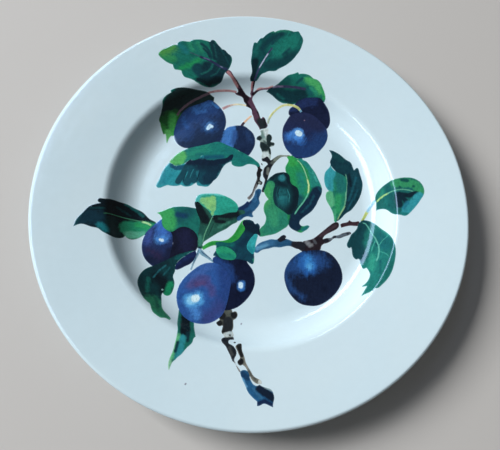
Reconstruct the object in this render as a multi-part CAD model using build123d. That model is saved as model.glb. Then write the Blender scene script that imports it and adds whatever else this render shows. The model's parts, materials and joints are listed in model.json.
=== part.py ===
from build123d import *
import math
import os

# A rimmed dinner plate: a fired clay body, a clear-white glaze coat in two parts, and a plum
# branch painted on the face, each painted mark a thin skin of ceramic colour on the glaze.
# Millimetres, +Z up, origin at the middle of the foot ring's contact plane, +Y = top of the
# painted picture.

# Driving dimensions of the plate
RIM_RADIUS = 133.5
FLOOR_TOP = 6.9
FLOOR_THICKNESS = 4.4
FLAT_FLOOR_RADIUS = 70.5
COVE_RADIUS = 21.0
WALL_ANGLE = 48.0
WALL_RUN = 2.4
SHOULDER_RADIUS = 7.0
RIM_SLOPE = 6.6
WALL_THICKNESS = 3.6
FOOT_OUTER_RADIUS = 77.0
FOOT_INNER_RADIUS = 72.5
FOOT_ROUND = 1.0
GLAZE_THICKNESS = 0.35
GLAZE_STOP_HEIGHT = 1.4
PAINT_THICKNESS = 0.12
SMALLEST_MARK = 0.4

LIP_RADIUS = WALL_THICKNESS / 2
UNDER_FLOOR = FLOOR_TOP - FLOOR_THICKNESS


def step(point, distance, heading):
    """The point reached from another by going a distance along a heading in degrees."""
    turn = math.radians(heading)
    return (point[0] + distance * math.cos(turn), point[1] + distance * math.sin(turn))


def on_hollow(centre, radius, heading):
    """Where a path with this heading runs along a hollow (centre above it)."""
    return step(centre, radius, heading - 90)


def on_crown(centre, radius, heading):
    """Where a path with this heading runs along a crown (centre below it)."""
    return step(centre, radius, heading + 90)


COVE_CENTRE = (FLAT_FLOOR_RADIUS, FLOOR_TOP + COVE_RADIUS)
WALL_TOP = step(on_hollow(COVE_CENTRE, COVE_RADIUS, WALL_ANGLE), WALL_RUN, WALL_ANGLE)
SHOULDER_CENTRE = step(WALL_TOP, SHOULDER_RADIUS, WALL_ANGLE - 90)
RIM_AXIS_START = on_crown(SHOULDER_CENTRE, SHOULDER_RADIUS - LIP_RADIUS, RIM_SLOPE)
RIM_AXIS_LENGTH = (RIM_RADIUS - LIP_RADIUS - RIM_AXIS_START[0]) / math.cos(math.radians(RIM_SLOPE))
LIP_CENTRE = step(RIM_AXIS_START, RIM_AXIS_LENGTH, RIM_SLOPE)


def crown_arc(centre, radius, start, end):
    middle = on_crown(centre, radius, (start + end) / 2)
    return ThreePointArc(on_crown(centre, radius, start), middle, on_crown(centre, radius, end))


def hollow_arc(centre, radius, start, end):
    middle = on_hollow(centre, radius, (start + end) / 2)
    return ThreePointArc(on_hollow(centre, radius, start), middle, on_hollow(centre, radius, end))


def face_curve(inset):
    """The eating face in cross-section, from the axis to the lip, moved inwards by inset."""
    return [
        Line((0, FLOOR_TOP - inset), (FLAT_FLOOR_RADIUS, FLOOR_TOP - inset)),
        hollow_arc(COVE_CENTRE, COVE_RADIUS + inset, 0, WALL_ANGLE),
        Line(on_hollow(COVE_CENTRE, COVE_RADIUS + inset, WALL_ANGLE),
             on_crown(SHOULDER_CENTRE, SHOULDER_RADIUS - inset, WALL_ANGLE)),
        crown_arc(SHOULDER_CENTRE, SHOULDER_RADIUS - inset, WALL_ANGLE, RIM_SLOPE),
        Line(on_crown(SHOULDER_CENTRE, SHOULDER_RADIUS - inset, RIM_SLOPE),
             on_crown(LIP_CENTRE, LIP_RADIUS - inset, RIM_SLOPE)),
    ]


def closed_face(edges):
    """A flat face from edges laid end to end, closed by a straight edge if they stay open."""
    start = edges[0] @ 0
    end = edges[-1] @ 1
    if (start - end).length > 0.001:
        edges = edges + [Line(end, start)]
    return make_face(edges)


def section(inset):
    """Half of the plate's cross-section, every surface moved inwards by inset."""
    shoulder = SHOULDER_RADIUS - WALL_THICKNESS + inset
    cove = COVE_RADIUS + WALL_THICKNESS - inset
    foot_out = FOOT_OUTER_RADIUS - inset
    foot_in = FOOT_INNER_RADIUS + inset
    foot_heading = math.degrees(math.asin((foot_out - FLAT_FLOOR_RADIUS) / cove))
    round_out = (FOOT_OUTER_RADIUS - FOOT_ROUND, FOOT_ROUND)
    round_in = (FOOT_INNER_RADIUS + FOOT_ROUND, FOOT_ROUND)
    recess = (FOOT_INNER_RADIUS - FOOT_ROUND, UNDER_FLOOR - FOOT_ROUND)
    recess_radius = FOOT_ROUND + inset
    return closed_face(face_curve(inset) + [
        crown_arc(LIP_CENTRE, LIP_RADIUS - inset, RIM_SLOPE, RIM_SLOPE - 180),
        Line(on_crown(LIP_CENTRE, LIP_RADIUS - inset, RIM_SLOPE - 180),
             on_crown(SHOULDER_CENTRE, shoulder, RIM_SLOPE)),
        crown_arc(SHOULDER_CENTRE, shoulder, RIM_SLOPE, WALL_ANGLE),
        Line(on_crown(SHOULDER_CENTRE, shoulder, WALL_ANGLE),
             on_hollow(COVE_CENTRE, cove, WALL_ANGLE)),
        hollow_arc(COVE_CENTRE, cove, WALL_ANGLE, foot_heading),
        Line(on_hollow(COVE_CENTRE, cove, foot_heading), (foot_out, FOOT_ROUND)),
        hollow_arc(round_out, FOOT_ROUND - inset, 90, 0),
        Line((round_out[0], inset), (round_in[0], inset)),
        hollow_arc(round_in, FOOT_ROUND - inset, 0, -90),
        Line((foot_in, FOOT_ROUND), (foot_in, recess[1])),
        crown_arc(recess, recess_radius, -90, 0),
        Line((recess[0], UNDER_FLOOR + inset), (0, UNDER_FLOOR + inset)),
    ])


def paint_shell():
    """The thin skin over the eating face that every painted mark is cut from."""
    under = face_curve(0)
    over = face_curve(-PAINT_THICKNESS)
    rim_end = Line(under[-1] @ 1, over[-1] @ 1)
    hub_end = Line(over[0] @ 0, under[0] @ 0)
    return revolve(Plane.XZ * make_face(under + over + [rim_end, hub_end]), Axis.Z)


def outline(runs):
    """A flat shape from runs of points: a smooth curve along each run, a corner between runs."""
    edges = []
    for number, run in enumerate(runs):
        points = run + [runs[(number + 1) % len(runs)][0]]
        if len(runs) == 1:
            edges.append(Spline(*run, periodic=True))
        elif len(points) == 2:
            edges.append(Line(*points))
        else:
            edges.append(Spline(*points))
    return make_face(edges)


def stroke(stations):
    """A brush stroke along a curve: each station is a point and the stroke's width there."""
    left = []
    right = []
    for number, (x, y, width) in enumerate(stations):
        before = stations[max(number - 1, 0)]
        after = stations[min(number + 1, len(stations) - 1)]
        run = math.hypot(after[0] - before[0], after[1] - before[1])
        across = ((before[1] - after[1]) / run * width / 2, (after[0] - before[0]) / run * width / 2)
        left.append((x + across[0], y + across[1]))
        right.append((x - across[0], y - across[1]))
    return outline([left[:-1], left[-1:], right[::-1][:-1], right[:1]])


# The painting, from the first mark laid down to the last. A later mark is cut out of the
# earlier ones below it, so that no two marks share any space.
LEAVES_AND_PLUMS = {
    "leaf_top_left": [
        [(-62.5, 101.6), (-61.4, 103.4), (-60, 104.8), (-56, 106.9), (-52.6, 108.8)],
        [(-50, 108.8), (-49.7, 110.6), (-48.5, 111.6), (-45, 112)],
        [(-41.5, 111.9), (-40.1, 113.1), (-37.3, 113.7), (-33.6, 113.7), (-30.3, 113)],
        [(-28, 112.4), (-27.3, 113.6), (-26.1, 113.9), (-24.7, 113.2), (-23.3, 111.3), (-21.5, 109.2)],
        [(-19.8, 107.2), (-18.6, 107), (-17.3, 106), (-15.9, 104.3), (-14.2, 102.9), (-13.3, 101.1),
         (-13.2, 98.7), (-13.8, 96.4), (-14.9, 93.6)],
        [(-15.8, 92.2)],
        [(-17.7, 90.1), (-18.7, 88), (-20.1, 85), (-22.9, 83.1), (-25.2, 81.9), (-29.4, 81.1),
         (-32.7, 81.2), (-35.5, 82)],
        [(-37.3, 82.9), (-39.2, 84), (-42, 85), (-44.8, 85.9), (-46.2, 87.8)],
        [(-46.9, 90.1), (-49.5, 90.6), (-51.3, 91), (-52.3, 92.7)],
        [(-52.7, 94.3), (-55.1, 95), (-57.9, 96.6), (-60, 98.3), (-61.8, 100)],
    ],
    "leaf_top_middle": [
        [(-0.5, 86.3), (-1, 87.8), (-0.3, 89.7), (0.2, 91.9), (-0.1, 95.1), (-0.5, 98.3), (-0.4, 101),
         (0.1, 104.2), (0.5, 108.2), (1.1, 111.4), (1.8, 112.9), (2.7, 113.1)],
        [(3.6, 112.8), (4.9, 114.8), (6.1, 116.2)],
        [(7.6, 116.5), (9, 118), (11, 119.8), (13.3, 121.2), (15.1, 121.8)],
        [(16, 121.2), (17.8, 122.1), (20.1, 122.8), (23.7, 123), (26.5, 122.5)],
        [(29.2, 121.6), (31, 121.9), (32.3, 121.8), (33.3, 120.3), (34.6, 118), (35.4, 115.3),
         (34.8, 112.3), (33.9, 109.6), (32.3, 106.4), (30.5, 103.9), (28.3, 101), (25.5, 98.3),
         (21.9, 95.8), (19.2, 94.4)],
        [(16.9, 92.8), (13.8, 92.1), (11.9, 92.1), (9.2, 91), (6.5, 89.7), (5.1, 88.1)],
        [(3.4, 86.5)],
    ],
    "leaf_top_right": [
        [(10, 81), (11.9, 82.4), (15.1, 83.8), (17.4, 84.7), (19.9, 86), (22.4, 87.8), (24.6, 89.4),
         (27.4, 90.3), (29.6, 91), (31.4, 91.5)],
        [(31.9, 90.3), (34.2, 90.6), (37.3, 90.1), (39.6, 89), (41, 87.6)],
        [(43.2, 86.5), (45, 85.3), (46.4, 83.5), (47.5, 80.6), (48.4, 77.9), (49.2, 74.9), (49.5, 73.3),
         (48.9, 71.5)],
        [(47, 70), (40, 71), (33, 72)],
        [(30.1, 72.9), (26.5, 73.1), (24.6, 73.5), (21.9, 73.8), (20.1, 74.5), (17.4, 76.3),
         (14.7, 78.6), (11.9, 80.4)],
    ],
    "leaf_dark": [
        [(-25, 76.6), (-26.8, 77.4), (-28.3, 78.4), (-30.5, 79), (-35.3, 78.9), (-40.1, 78.7),
         (-44.9, 78.5), (-48.2, 78.1), (-51.6, 77), (-53.4, 75.8)],
        [(-53.1, 74.3), (-55.2, 72.9), (-57.4, 70.7), (-58.6, 68.1), (-58.6, 65.9), (-59.3, 62.8),
         (-60.2, 59.9), (-61, 57)],
        [(-60.3, 55.7), (-59.8, 53.2), (-58.8, 50.3)],
        [(-58.1, 48.6)],
        [(-56.9, 49.2), (-56.4, 46.5), (-56.2, 44.1)],
        [(-55.7, 42.4), (-55, 44.4), (-54, 47)],
        [(-52.8, 48.2), (-50, 48.2)],
        [(-46, 58), (-40, 66), (-32, 70), (-26, 73)],
    ],
    "plum_top_left_behind": [
        [(-17.5, 53.5), (-16.2, 55.1), (-13.2, 56.2), (-10.3, 56.8), (-6.9, 56.9), (-4.1, 56.2),
         (-1.7, 54.2), (0.6, 52), (2.1, 48.9), (2.6, 46), (2.4, 43.2), (1.5, 40.2), (-0.2, 37.1),
         (-1.9, 34.7)],
        [(-8, 34), (-16, 38), (-24, 40)],
        [(-27, 46), (-22, 52)],
    ],
    "plum_top_left": [[
        (-29.5, 74.1), (-26.6, 74.4), (-23.8, 72.9), (-20.9, 70.2), (-18.7, 67.1), (-17.3, 63.3),
        (-16.8, 59.4), (-17.3, 55.6), (-18.7, 51.8), (-21.4, 48.1), (-24.7, 44.6), (-28.1, 42.2),
        (-32, 41.1), (-36.2, 40.2), (-40.1, 39.7), (-43.4, 39.4), (-45.9, 40.3), (-48.4, 42),
        (-50.5, 45), (-51.4, 48.4), (-51.2, 52.2), (-50.2, 56.1), (-48.5, 60.4), (-45.8, 64.7),
        (-42, 68.3), (-37.2, 70.5), (-32.9, 72.4),
    ]],
    "leaf_long_underside": [
        [(-53, 29.4), (-55, 27.3), (-56.9, 24.4), (-58.6, 20.6), (-60, 16.2), (-61, 14.3),
         (-61.3, 12.2), (-60, 11.2), (-56.9, 11.9)],
        [(-53.5, 13), (-49.7, 12.5), (-47.2, 12.8)],
        [(-45.6, 13.4), (-43.9, 12.5), (-40.6, 12.3), (-38.6, 13.1), (-37.2, 14.1)],
        [(-35.7, 15), (-35, 13.2), (-32.4, 12.6), (-28.6, 12.4), (-26.2, 14.5)],
        [(-24.7, 16.5), (-22.3, 18.9), (-20.4, 22.5), (-18.7, 26.1), (-16.6, 28.5), (-14.4, 29.8)],
        [(-10, 31), (-14, 38), (-30, 37), (-44, 33)],
    ],
    "leaf_long_face": [
        [(5.6, 27.4), (4.6, 29.7), (2.2, 31.8), (-0.2, 33.8), (-1.9, 34.7), (-4.5, 36.2), (-8.4, 38.3),
         (-11.7, 40.2), (-15.6, 41.9), (-19, 43.6), (-22.8, 44.4), (-26, 43.6), (-29.5, 42.5),
         (-33, 41.6), (-37, 40.6), (-40.1, 39.8), (-43.4, 38.8), (-45.8, 37.4), (-48.7, 35.4),
         (-51.6, 32.3), (-53.3, 30.2)],
        [(-53.7, 29), (-51.6, 28), (-49.4, 26.8), (-47.3, 26.8), (-45.4, 27.8), (-43.4, 28.7),
         (-41.5, 30.2)],
        [(-39.8, 31.4), (-38.4, 30.8), (-37.2, 30.9), (-35.3, 31.6), (-33.4, 33.3)],
        [(-31.4, 34.6), (-30.7, 32.6), (-28.6, 31.4), (-26.2, 31.4), (-23.8, 32.1), (-19.9, 32.6),
         (-16.1, 33), (-14.6, 34.5)],
        [(-12.3, 35.5), (-12, 34), (-12.7, 32.1), (-13.2, 30.2), (-13.2, 28.8), (-11.8, 27.3),
         (-8.4, 26.6), (-5.5, 27), (-3.1, 28.3), (0.2, 28.4), (2.4, 27.8)],
        [(4, 26.6)],
    ],
    "plum_right_behind": [
        [(25.6, 65.9), (25.5, 67.8), (26.2, 69.8), (27.2, 70.9), (29, 71.9), (30.6, 73.9),
         (32.9, 75.2), (35.3, 75.7), (38, 75.8), (40.6, 75.5), (43, 75), (45.6, 74.2), (48, 72.2),
         (50, 69.7), (51.9, 66.7), (53, 63.2), (53.3, 60), (52.7, 57.2)],
        [(51, 55), (40, 60), (30, 62)],
    ],
    "leaf_centre_blade": [
        [(23.2, 33.9), (24.6, 34.8), (26.1, 35.2)],
        [(28, 36.5), (33, 35)],
        [(33.9, 32.3), (37, 30.5), (39.1, 27.4), (41.7, 23.2), (43.2, 19.6), (44.8, 15.4),
         (45.7, 11.2), (45.1, 8.1), (43.2, 4.5), (41.4, 0.8), (40.1, -1.2), (38, -3.8), (35.4, -5.9),
         (32.3, -8.3), (30.6, -10.1), (30.1, -11.6), (30.9, -13.2), (33.4, -13.4), (34.9, -13)],
        [(36.4, -13.8), (34.9, -15.8), (32.8, -17.1), (30.8, -18.1), (28.7, -17.6), (26.6, -16.6),
         (24.2, -15), (22.8, -12.2), (22.2, -8), (21.9, -5.4)],
        [(24, 4), (26, 14), (22.3, 23.4)],
        [(22, 25.5), (22.9, 28.6), (24.2, 31.6)],
    ],
    "leaf_centre_lobe": [
        [(7.6, 10.7), (8.2, 12.8), (9.2, 14.9), (11, 17.5), (14, 19), (17, 14), (17, 4)],
        [(20, -3), (22.4, -5.8)],
        [(22.4, -8.5), (22.9, -12.8)],
        [(20.4, -15.3), (17.2, -17.4), (13.6, -19.2), (8.4, -20.3), (4.6, -20.7)],
        [(4.4, -18), (4.9, -15.5)],
        [(6.6, -13.7), (8.4, -10.6), (8.7, -8), (7.6, -4.4), (7.4, -0.7), (8.7, 2.4)],
        [(10.5, 4.2), (9.2, 6), (7.9, 8.6)],
    ],
    "leaf_centre_blot": [
        [(7.4, 9.8), (7.9, 12.9), (9.2, 15.6), (11, 18.6), (13.1, 20.5), (15.7, 22.3), (18.3, 23),
         (21.1, 23.3), (23.6, 22.3), (24.9, 20), (25, 17.4), (25.8, 15.3), (27.6, 13.8), (29.4, 12.4),
         (30.3, 10), (30.2, 6), (29.7, 2.9), (29, -1), (26.5, -4.5), (23.5, -6.2)],
        [(21.9, -5.4), (20.4, -4.1), (17.2, -1.8), (15, 0.3), (13.9, 3.4), (13.6, 7.6), (14.4, 11.8),
         (15, 14.9)],
        [(13.4, 16.8), (11, 16.6), (9.5, 14.2), (8.6, 11.6)],
    ],
    "leaf_upright_right": [
        [(51.5, 39.7), (54.2, 39.3), (56.8, 38), (59.9, 35.7), (63, 32.8), (65.6, 31), (66.9, 27.9)],
        [(67.7, 25.3), (70, 26.8)],
        [(70.8, 25.3), (71.8, 20.6), (72.6, 15.4), (71.8, 10.7), (70.3, 6.6), (68.2, 2.9), (65.6, -0.7),
         (63, -3.3), (60.4, -4.9), (57.8, -7.5)],
        [(55.2, -9.8), (54.2, -10.1)],
        [(55.7, -6.4), (58.3, -2.3), (59.9, 0.6), (60.7, 4.5), (61.4, 10.2), (62.2, 15.9), (61.8, 20),
         (59.5, 22), (56, 24), (52.6, 28)],
        [(52, 30), (52.4, 32.6), (53.4, 35.2), (52.8, 37.6)],
    ],
    "leaf_upright_left": [
        [(54.2, -10.1), (53.4, -11)],
        [(52.1, -10.1), (52.1, -7), (51.3, -3.3), (50, -0.2), (48.4, 2.9), (47.7, 6.6), (48.3, 9.2)],
        [(50, 10.4), (48.3, 12.8), (47.4, 16.4), (47.5, 20.6), (48.7, 24.2), (50.5, 26.3), (52, 28.6)],
        [(52.2, 29.5), (56, 24), (59.5, 22), (61.8, 20), (62.2, 15.9), (61.4, 10.2), (60.7, 4.5),
         (59.9, 0.6), (58.3, -2.3), (55.7, -6.4)],
    ],
    "leaf_far_right": [
        [(79.8, 2.2), (79.5, 5.4), (80.6, 8.3), (82.9, 11), (86.7, 13.4), (90.2, 14.7), (93.5, 15.4),
         (98.5, 15.6), (102.2, 14.8), (104.8, 13.2), (106.7, 10.8), (107.7, 7.7), (107.4, 4.2),
         (105.4, 0.9), (102.8, -2.6), (99.9, -5.8), (97, -8.7), (94.2, -10.1), (91.3, -9.3),
         (88.6, -8.7), (86.7, -7), (84.8, -4.2), (82.2, -3.1)],
        [(79.4, -3.8), (79.6, -0.8)],
    ],
    "leaf_lower_right": [
        [(68.8, -10.9), (71.2, -9.4), (74.7, -10.1), (78.1, -12.4), (80.4, -15.3), (82.7, -18.2),
         (84.7, -21.9), (86, -26.2), (86.5, -30.8), (86.1, -34.8), (85, -39.4), (83.3, -44),
         (81, -48), (78.1, -51.4), (75.2, -54), (72.9, -55.3)],
        [(71.8, -55.2), (69.8, -56.9), (66.6, -58.3)],
        [(63.2, -60.2), (64.9, -57.7), (66.6, -55.3)],
        [(67.9, -53.3), (65.6, -52.9)],
        [(65.9, -52.6), (68.4, -50.6), (70.1, -48), (70.9, -45.7), (70.7, -43.4)],
        [(69.8, -41.1), (67.8, -41.4), (67.2, -40), (66.7, -37), (66.2, -35)],
        [(65, -35.4), (63.5, -34.5), (62.4, -31.9), (62.3, -29.5)],
        [(62, -27.3), (60.6, -27.9), (59.5, -26.8), (60, -23.9), (61.5, -21), (62.9, -18.7),
         (64.9, -17), (66.6, -14.7), (67.6, -12.2)],
    ],
    "leaf_left": [
        [(-106.6, -19.2), (-106, -16), (-104.7, -13.1), (-102.5, -10.4), (-100.4, -7.5), (-97.7, -5.1),
         (-94.8, -4)],
        [(-92.4, -3.3), (-94.2, -1.3), (-93.8, -0.6), (-91.3, -0.4), (-88.7, -0.1), (-86, 0.3),
         (-82.3, -0.1), (-78, -0.8), (-74.8, -2.4), (-71.6, -3.8), (-68.4, -5.6), (-65.7, -8.3),
         (-63.1, -10.4), (-60.1, -12.1)],
        [(-60, -14), (-62, -19)],
        [(-65.7, -18.9), (-67.9, -21.1), (-71.1, -22.9), (-74.3, -23.7), (-76.6, -23.1)],
        [(-77.9, -21.9), (-80.1, -23.7), (-84.4, -24), (-87.1, -22.9), (-90.3, -21.3), (-92.9, -19.5),
         (-96.1, -18.9), (-99.3, -17.9), (-102.5, -17.3), (-104.7, -18)],
    ],
    "plum_left_behind": [
        [(-50.8, -18.2), (-48.7, -17.4), (-46, -15.5), (-42.3, -14.7), (-38.5, -16), (-35.3, -18.7),
         (-33.8, -22), (-33.5, -25), (-33.9, -27.8), (-34.8, -29.8)],
        [(-38, -33), (-46, -38), (-53, -38)],
        [(-56, -30), (-53, -22)],
    ],
    "plum_left": [
        [(-56.6, -9.6), (-58.8, -11.2), (-61.5, -13.9), (-64.7, -17.1), (-66.8, -20.3), (-67.9, -24),
         (-68.1, -27.7), (-67.4, -31.8), (-65.9, -35.2), (-63.6, -37.9), (-61.2, -39.8), (-56, -41)],
        [(-50, -38), (-50.6, -33), (-49.6, -28), (-49.3, -23), (-50, -19.5)],
        [(-50.8, -18.2), (-52.9, -17.2), (-55.1, -15.5), (-56.4, -12.8)],
    ],
    "leaf_over_left_plum": [
        [(-60.6, -5.7), (-56.7, -4.3), (-53.5, -2.9), (-50.3, -1.7), (-46, -1.2), (-41.2, -1.4),
         (-38, -1.9), (-34, -3)],
        [(-31, -10), (-31, -18), (-33.7, -23)],
        [(-34.1, -21.3), (-35.3, -18.7), (-38.5, -16), (-42.3, -14.7), (-46, -15.5), (-48.7, -17.4)],
        [(-50.8, -18.2), (-52.9, -17.2), (-55.1, -15.5), (-56.4, -12.8), (-56.7, -9.6),
         (-57.6, -7.5)],
    ],
    "leaf_two_tone_underside": [
        [(-36.1, 2.6), (-36.5, 0.4), (-35.8, -1.9), (-34.8, -5.1), (-33.8, -7.5), (-32.9, -9.6),
         (-32.7, -11.7), (-32.9, -14.4), (-33.4, -17.2), (-33.8, -19.3), (-33.6, -21.4), (-33.9, -23.8),
         (-33.8, -26.2)],
        [(-34.1, -28.2), (-32.6, -29.2), (-31, -28.6)],
        [(-30.9, -26.4)],
        [(-30.1, -24.5), (-28.6, -23.4), (-26.1, -21.7), (-22.7, -19.4), (-19.2, -17.4),
         (-15.7, -15.5), (-12.3, -12.9), (-9.2, -10.8)],
        [(-9.8, -9.4), (-9, -7.8), (-7, -6.5), (-4.4, -5.2)],
        [(-4.6, -4), (-6.7, -3.3), (-8.8, -3.4)],
        [(-12, -2), (-22, -4), (-28, 0)],
    ],
    "leaf_two_tone_face": [
        [(-36.3, 2.2), (-35.8, 4.3), (-35, 5.7), (-33.8, 6.9), (-31.7, 7.6), (-28.9, 7.9), (-25.1, 7.9),
         (-22, 7.8), (-19.2, 7.1), (-16.4, 5.9), (-13.7, 4.5), (-11.2, 2.7), (-9.5, 0.8), (-8.8, -0.9),
         (-9, -3)],
        [(-9.9, -4.6), (-12.3, -4.9), (-15, -5.1), (-17.5, -5.9), (-19.5, -6.6), (-22, -6.8),
         (-24.1, -7.1)],
        [(-25, -8.4), (-26, -6.3), (-27.2, -4.4), (-29.3, -2.3), (-31.7, -0.4), (-33.4, 1.3)],
        [(-34.9, 2.3), (-35.6, 1.7)],
    ],
    "plum_front_behind": [
        [(-24.3, -36.5), (-24.2, -34.4), (-23, -33.6), (-20, -33.5)],
        [(-12, -32), (-5, -33), (-2.8, -38), (-0.8, -40.6), (0.8, -44.2), (1.4, -47.8), (0.9, -52),
         (-0.8, -56.2), (-3.4, -59.8), (-6.5, -62.9), (-9.6, -65), (-13.2, -66.3), (-17, -66.6)],
        [(-22, -62), (-22, -45)],
    ],
    "leaf_ribbon": [
        [(-31.3, -28.4), (-30.6, -27.2), (-28.6, -25.5), (-26.1, -24.1), (-23.4, -23.6),
         (-20.6, -23.6), (-17.8, -23.4), (-15.7, -22.7), (-14, -21.6), (-12, -19.6), (-10, -16.5),
         (-8.3, -13.4), (-7, -11.2), (-6, -10.2), (-4.6, -9.7)],
        [(-3, -11), (-3, -18), (-8, -25), (-16, -27), (-21.8, -26.9)],
        [(-23.4, -26.6), (-26.1, -27.4), (-28.6, -28.6)],
        [(-30.3, -29.7)],
    ],
    "leaf_lower_middle": [
        [(-22.9, -25.2), (-21.4, -24.4), (-18.5, -24.5), (-14.8, -25), (-11.2, -24), (-8.3, -21.9),
         (-6.4, -19.2), (-4.9, -17)],
        [(-5.3, -13.7), (-5.9, -11.3), (-5.2, -10.2), (-3.3, -9.6), (-0.8, -9.9), (0.9, -11),
         (1.8, -12.3)],
        [(3.2, -11.8), (4.4, -12.9), (4.9, -14.8), (4.5, -16.6), (5, -18.5)],
        [(4.6, -20.6), (3, -19.4), (2, -24), (1, -30), (1.1, -35.4), (0, -38.4), (-1.3, -38.2),
         (-2.8, -37.2)],
        [(-5.4, -36.1), (-8.6, -35.4), (-12.2, -35.6), (-15.8, -35.9), (-19, -35.1), (-22.2, -33.7)],
        [(-24.1, -33.4), (-24, -31.9), (-22.9, -30.2), (-22.5, -27.6)],
    ],
    "leaf_lower_middle_petal": [[
        (-22.2, -28.2), (-20.3, -27.4), (-17.9, -27.2), (-14.3, -28.3), (-11.4, -30.5), (-10, -33.3),
        (-10.8, -35.1), (-15.3, -35.7), (-19.5, -34.6), (-21.7, -32.2),
    ]],
    "leaf_lower_middle_strip": [
        [(1.3, -19.2), (3.4, -19.6)],
        [(3.6, -20.6), (2.9, -22.6), (2.1, -26), (1.5, -30), (0.4, -32)],
        [(-0.5, -31.9), (-2.4, -30), (-3.5, -27.8), (-2.9, -25), (-1.3, -22.2)],
    ],
    "plum_left_sliver": [
        [(-47.6, -40.2), (-46.8, -42.1), (-44.9, -41.9), (-41.2, -40), (-37.5, -37.9), (-35.6, -35.2),
         (-34.5, -32)],
        [(-35, -30.2), (-36.9, -30.9), (-40.7, -33.1), (-43.9, -35.5), (-46, -37.7)],
    ],
    "leaf_curled_left": [
        [(-61.6, -40), (-56.4, -38), (-50.2, -34.8), (-45, -32.2), (-40.8, -31), (-36.5, -30)],
        [(-34.6, -30), (-38.2, -31.4), (-40.8, -33), (-43.9, -35.4), (-46, -37.7), (-47, -40),
         (-47.1, -42)],
        [(-47.8, -44.7), (-48.1, -46.8), (-47.4, -48.9), (-47.3, -52), (-48.1, -55.1), (-49.6, -57.7),
         (-51.2, -58.3), (-52.8, -57.7)],
        [(-53.8, -56.4), (-54.3, -57.6), (-54.2, -59.8), (-53.9, -62.4), (-53.3, -65.5),
         (-51.2, -68.6), (-49.1, -70.7)],
        [(-47.6, -72.6), (-48.5, -73.3), (-50.2, -72.5), (-52.8, -72.3), (-55.9, -70.7),
         (-58.2, -68.6), (-59.3, -66)],
        [(-60.3, -63.7), (-63.2, -61.4), (-65.5, -58.2), (-67.3, -54.6), (-68.5, -49.9), (-67.9, -46.3),
         (-66.3, -43.2), (-64.2, -41.3)],
    ],
    "leaf_bottom": [
        [(-44, -66.5), (-44.1, -71.7), (-44, -75.4), (-43.5, -78.7), (-43.6, -80.5), (-44, -83.3),
         (-44.7, -86.6), (-45.4, -89.9), (-46.5, -93.1), (-47.5, -95.9), (-47.8, -98.3)],
        [(-47.2, -101.2), (-46.3, -98.7), (-45.1, -96.5)],
        [(-44, -95.7), (-42.8, -94.3), (-40.9, -92.7), (-39.1, -90.6), (-36.7, -88), (-34.9, -86.1),
         (-34.2, -84)],
        [(-33.1, -82.9), (-33.7, -80.5), (-34.2, -78.2), (-34.6, -75.2), (-35, -72)],
        [(-39, -68)],
    ],
    "plum_front": [[
        (-26.8, -37.5), (-29.9, -38.2), (-33.5, -40), (-36.6, -42.4), (-39.8, -45.2), (-42.9, -48.9),
        (-45, -53), (-45.8, -57.2), (-45.5, -61.4), (-44.3, -65.5), (-42.2, -69.2), (-39.2, -72),
        (-35.6, -74.1), (-31.4, -75), (-27.3, -74.8), (-23.1, -73.3), (-19.9, -71), (-17.6, -68.1),
        (-16.2, -64.5), (-14.9, -59.8), (-13.8, -54.1), (-13.3, -49.4), (-14.3, -45.6), (-16.5, -42),
        (-19.5, -39.2), (-22.8, -37.8),
    ]],
    "plum_round": [[
        (33.3, -29.8), (30.5, -30.4), (27.6, -32), (24.6, -34.4), (22, -37.6), (20.1, -41.2),
        (19.2, -45.4), (19.6, -49.6), (20.8, -53.8), (23.1, -57.9), (25.9, -61), (29.3, -63.1),
        (33.3, -64), (37.1, -64.2), (40.9, -63.4), (44.5, -61.5), (48, -58.9), (51.1, -55.7),
        (53.4, -52.4), (54.9, -49), (55.4, -45.4), (54.8, -41), (52.9, -36.5), (50.1, -32.8),
        (46.5, -30.2), (42.5, -29.2), (38, -29.4),
    ]],
    "plum_right": [
        [(25.8, 64.3), (24.6, 62.4), (22.9, 59.3), (21.5, 56.2), (20.9, 53.1), (20.7, 50),
         (20.9, 46.6), (21.6, 43.5), (22.6, 40.8), (24.1, 38.4), (26, 36.3), (28, 34.4), (30.6, 33.2),
         (33.2, 33.3), (36, 33.6), (38.4, 34.2), (40.8, 35.2), (43, 36.6), (45, 38.3), (46.9, 40.4),
         (48.8, 42.7), (50.3, 45.4), (51.3, 48.1), (51.6, 51.2), (51.3, 53.6)],
        [(51, 55.2), (48.4, 58.8), (45, 62.6), (41, 65.6), (36.5, 67.2), (32, 67.2), (28.4, 66.2)],
    ],
}

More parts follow.
